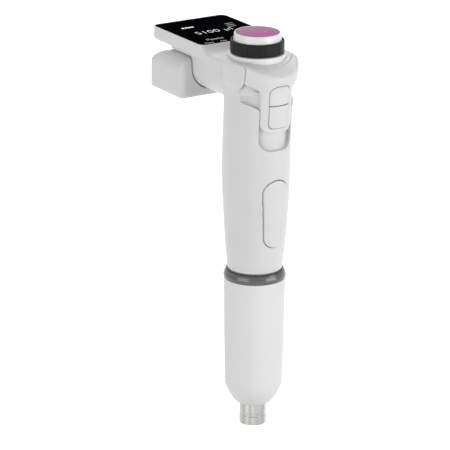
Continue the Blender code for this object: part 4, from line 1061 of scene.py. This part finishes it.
def makeSleeve():
    nose = [barrel["rim"] + 12 * (i / 16) ** 1.4 for i in range(17)]
    body = [barrel["shoulder"] + (barrel["top"] - barrel["shoulder"]) * i / 14 for i in range(1, 15)]
    wall, low, high, hole = (barrel[key] for key in ("wall", "diskLow", "diskHigh", "diskHole"))
    ends = (barrel["rim"], barrel["top"])
    outer = [(sleeveRadius(h), h, 0.12 if h in ends else 0) for h in reversed(nose + body)]
    inner = [
        (sleeveRadius(h) - 0.6 - min(1, (h - barrel["rim"]) / 8), h, 0) for h in nose + body if h < low
    ]
    inner += [(sleeveRadius(low) - wall, low, 0), (hole, low, 0.3), (hole, high, 0.3),
              (sleeveRadius(high) - wall, high, 0), (barrel["topRadius"] - wall, barrel["top"], 0.3)]
    sleeve = turned("ejectorSleeve", outer + inner, 160)
    return settle(shadeSmooth(sleeve), "ejector", paints["whiteBarrel"], "white_shell", "ejector_sleeve")


def makeCollar():
    low, high = barrel["top"] + gap, handle["foot"] - gap
    seat = high - 3.8 - gap
    ring = turned("collarRing", [
        (17.5, high, 0.3), (18.6, high - 2.0, 0.4), (19.2, high - 3.6, 0.8), (19.2, low, 0.7),
        (14.9, low, 0.2), (14.9, seat, 0.1), (16.8, seat, 0.1), (16.8, high, 0.1),
    ], 160)
    return settle(shadeSmooth(ring), "handle", paints["collarGrey"], "collar_grey", "collar_ring")


def makeNozzle():
    tip = turned("nozzleTip", [
        (6.2, 34.5, 0.3), (6.2, 26, 0), (8.45, 26, 0.2), (8.45, 8.0, 0.05), (8.2, 7.8, 0.05),
        (8.2, 5.7, 0.05), (8.45, 5.5, 0.05), (8.45, 0.0, 0.9), (3.0, 0.0, 0.4), (3.0, 34.5, 0.2),
    ], 128)
    # Its steel wears painted reflection streaks along its length.
    return settle(shadeSmooth(tip), "handle", paints["nozzleSteelPaintedStreaks"], "nozzle_steel", "nozzle")


makeSleeve()
makeCollar()
makeNozzle()
print("barrel done")


display = {
    "lift": 0.02, "thick": 0.05,
    "chargeBars": 4, "chargeStep": 2.2, "listBars": 3, "listStep": (0.8, 3.4),
}


def screenPiece(piece, material):
    return settle(piece, "handle", material, "black_glass")


def lettering(name, words, size, at, material, thin=0.0, spread=1.0):
    curve = bpy.data.curves.new(name, "FONT")
    curve.body = words
    curve.size = size
    curve.space_character = spread
    curve.offset = -thin
    curve.align_x = "LEFT"
    curve.align_y = "BOTTOM_BASELINE"
    curve.extrude = display["thick"] / 2
    holder = bpy.data.objects.new(name + "Line", curve)
    bpy.context.scene.collection.objects.link(holder)
    bpy.context.view_layer.update()
    graph = bpy.context.evaluated_depsgraph_get()
    mesh = bpy.data.meshes.new_from_object(holder.evaluated_get(graph))
    bpy.data.objects.remove(holder)
    mesh.transform(Matrix.Translation((at[0], at[1], head["top"] + display["lift"])))
    piece = bpy.data.objects.new(name, mesh)
    bpy.context.scene.collection.objects.link(piece)
    return screenPiece(outwards(piece), material)


def bar(name, low, high, radius, material):
    outline = rounded([(high[0], low[1], radius), (low[0], low[1], radius),
                       (low[0], high[1], radius), (high[0], high[1], radius)])
    surface = head["top"] + display["lift"]
    half = display["thick"] / 2
    return screenPiece(prism(name, outline, surface - half, surface + half), material)


lettering("volumeReading", "5100 µl", 8.3, (-14.4, 43.9), paints["litWhite"], 0.16, 1.04)
lettering("modeWord", "Pipette", 4.2, (-16.6, 29.4), paints["litDim"])
lettering("leftLabel", "Menu", 2.8, (-21.6, 23.4), paints["litDim"])
lettering("rightLabel", "Edit", 2.8, (-10.4, 23.4), paints["litDim"])
for i in range(display["chargeBars"]):
    along = display["chargeStep"] * i
    bar(f"chargeBar{i}", (-15.4 + along, 60.0), (-13.6 + along, 62.0), 0.3, paints["litWhite"])
for i in range(display["listBars"]):
    across, up = (step * i for step in display["listStep"])
    bar(f"listMark{i}", (11.5 + across, 50.4 + up), (17.5 + across, 51.1 + up), 0.2, paints["litDim"])
print("display marks done")

stage = {"floorGlow": 0.64, "left": 8.2, "right": 12.8, "behind": 6, "world": 0.47}


# Where the camera sees a surface, straight or in a reflection.
def seenMask(tree):
    paths = node(tree, "ShaderNodeLightPath")
    seen = node(tree, "ShaderNodeMath", operation="MAXIMUM")
    seenAll = node(tree, "ShaderNodeMath", operation="MAXIMUM")
    link = tree.links.new
    link(paths.outputs["Is Camera Ray"], seen.inputs[0])
    link(paths.outputs["Is Glossy Ray"], seen.inputs[1])
    link(seen.outputs[0], seenAll.inputs[0])
    link(paths.outputs["Is Transmission Ray"], seenAll.inputs[1])
    return seenAll.outputs[0]


# A pale floor that glows a little for the camera, so that it is white but keeps the shadow.
def makeFloor():
    low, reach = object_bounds()[0].z, 3.0
    corners = [(-reach, -reach, low), (reach, -reach, low), (reach, reach, low), (-reach, reach, low)]
    floorPlane = meshPiece("floor", corners, [(0, 1, 2, 3)])
    material, tree, shader = newMaterial("paleFloor")
    tree.nodes.remove(shader)
    diffuse = node(tree, "ShaderNodeBsdfDiffuse", {"Color": (0.9, 0.9, 0.9, 1)})
    glow = node(tree, "ShaderNodeEmission", {"Color": (1, 1, 1, 1)})
    strength = node(tree, "ShaderNodeMath", {1: stage["floorGlow"]}, operation="MULTIPLY")
    total = node(tree, "ShaderNodeAddShader")
    link = tree.links.new
    link(seenMask(tree), strength.inputs[0])
    link(strength.outputs[0], glow.inputs["Strength"])
    link(diffuse.outputs[0], total.inputs[0])
    link(glow.outputs[0], total.inputs[1])
    link(total.outputs[0], tree.nodes["Material Output"].inputs["Surface"])
    floorPlane.data.materials.append(material)


def makeWorld():
    world = bpy.data.worlds.new("studio")
    world.use_nodes = True
    tree = world.node_tree
    tree.nodes.clear()
    out = node(tree, "ShaderNodeOutputWorld")
    soft = node(tree, "ShaderNodeBackground", {"Color": (1, 1, 1, 1), "Strength": stage["world"]})
    white = node(tree, "ShaderNodeBackground", {"Color": (1, 1, 1, 1), "Strength": 1.0})
    mix = node(tree, "ShaderNodeMixShader")
    link = tree.links.new
    link(seenMask(tree), mix.inputs["Fac"])
    link(soft.outputs[0], mix.inputs[1])
    link(white.outputs[0], mix.inputs[2])
    link(mix.outputs[0], out.inputs["Surface"])
    bpy.context.scene.world = world


def softbox(name, watts, size, at, target):
    light = bpy.data.lights.new(name, "AREA")
    light.energy = watts
    light.shape = "RECTANGLE"
    light.size, light.size_y = size
    lamp = bpy.data.objects.new(name, light)
    lamp.location = at
    lamp.rotation_mode = "QUATERNION"
    lamp.rotation_quaternion = (Vector(target) - Vector(at)).to_track_quat("-Z", "Y")
    bpy.context.scene.collection.objects.link(lamp)
    return lamp


camera = {"azimuth": -33.18, "elevation": 18.69, "roll": 0.70, "distance": 1.8274, "aim": 0.12264,
          "lens": 240.0, "shift": (-0.0668, 0.0202)}


def makeCamera():
    data = bpy.data.cameras.new("photoCamera")
    data.lens = camera["lens"]
    data.sensor_width = 36.0
    data.sensor_fit = "HORIZONTAL"
    data.shift_x, data.shift_y = camera["shift"]
    data.clip_start, data.clip_end = 0.05, 50
    item = bpy.data.objects.new("photoCamera", data)
    a, e = math.radians(camera["azimuth"]), math.radians(camera["elevation"])
    back = Vector((math.sin(a) * math.cos(e), -math.cos(a) * math.cos(e), math.sin(e)))
    right = (-back).cross(Vector((0, 0, 1))).normalized()
    up = right.cross(-back)
    r = math.radians(camera["roll"])
    right, up = right * math.cos(r) + up * math.sin(r), up * math.cos(r) - right * math.sin(r)
    turn = Matrix((right, up, back)).transposed().to_4x4()
    at = axisFoot + Vector((0, 0, camera["aim"])) + back * camera["distance"]
    item.matrix_world = Matrix.Translation(at) @ turn
    bpy.context.scene.collection.objects.link(item)
    bpy.context.scene.camera = item


makeFloor()
makeWorld()
centre = axisFoot + Vector((0, 0.02, 0.13))
softbox("rightSoftbox", stage["right"], (0.9, 1.2), centre + Vector((0.65, -1.1, 0.08)), centre)
softbox("leftSoftbox", stage["left"], (0.9, 1.2), centre + Vector((-1.2, -0.35, 0.08)), centre)
softbox("rearSoftbox", stage["behind"], (0.9, 0.9), centre + Vector((0.45, 0.75, 0.95)), centre)
makeCamera()
bpy.context.scene.view_settings.view_transform = "Standard"

print("all pieces made")
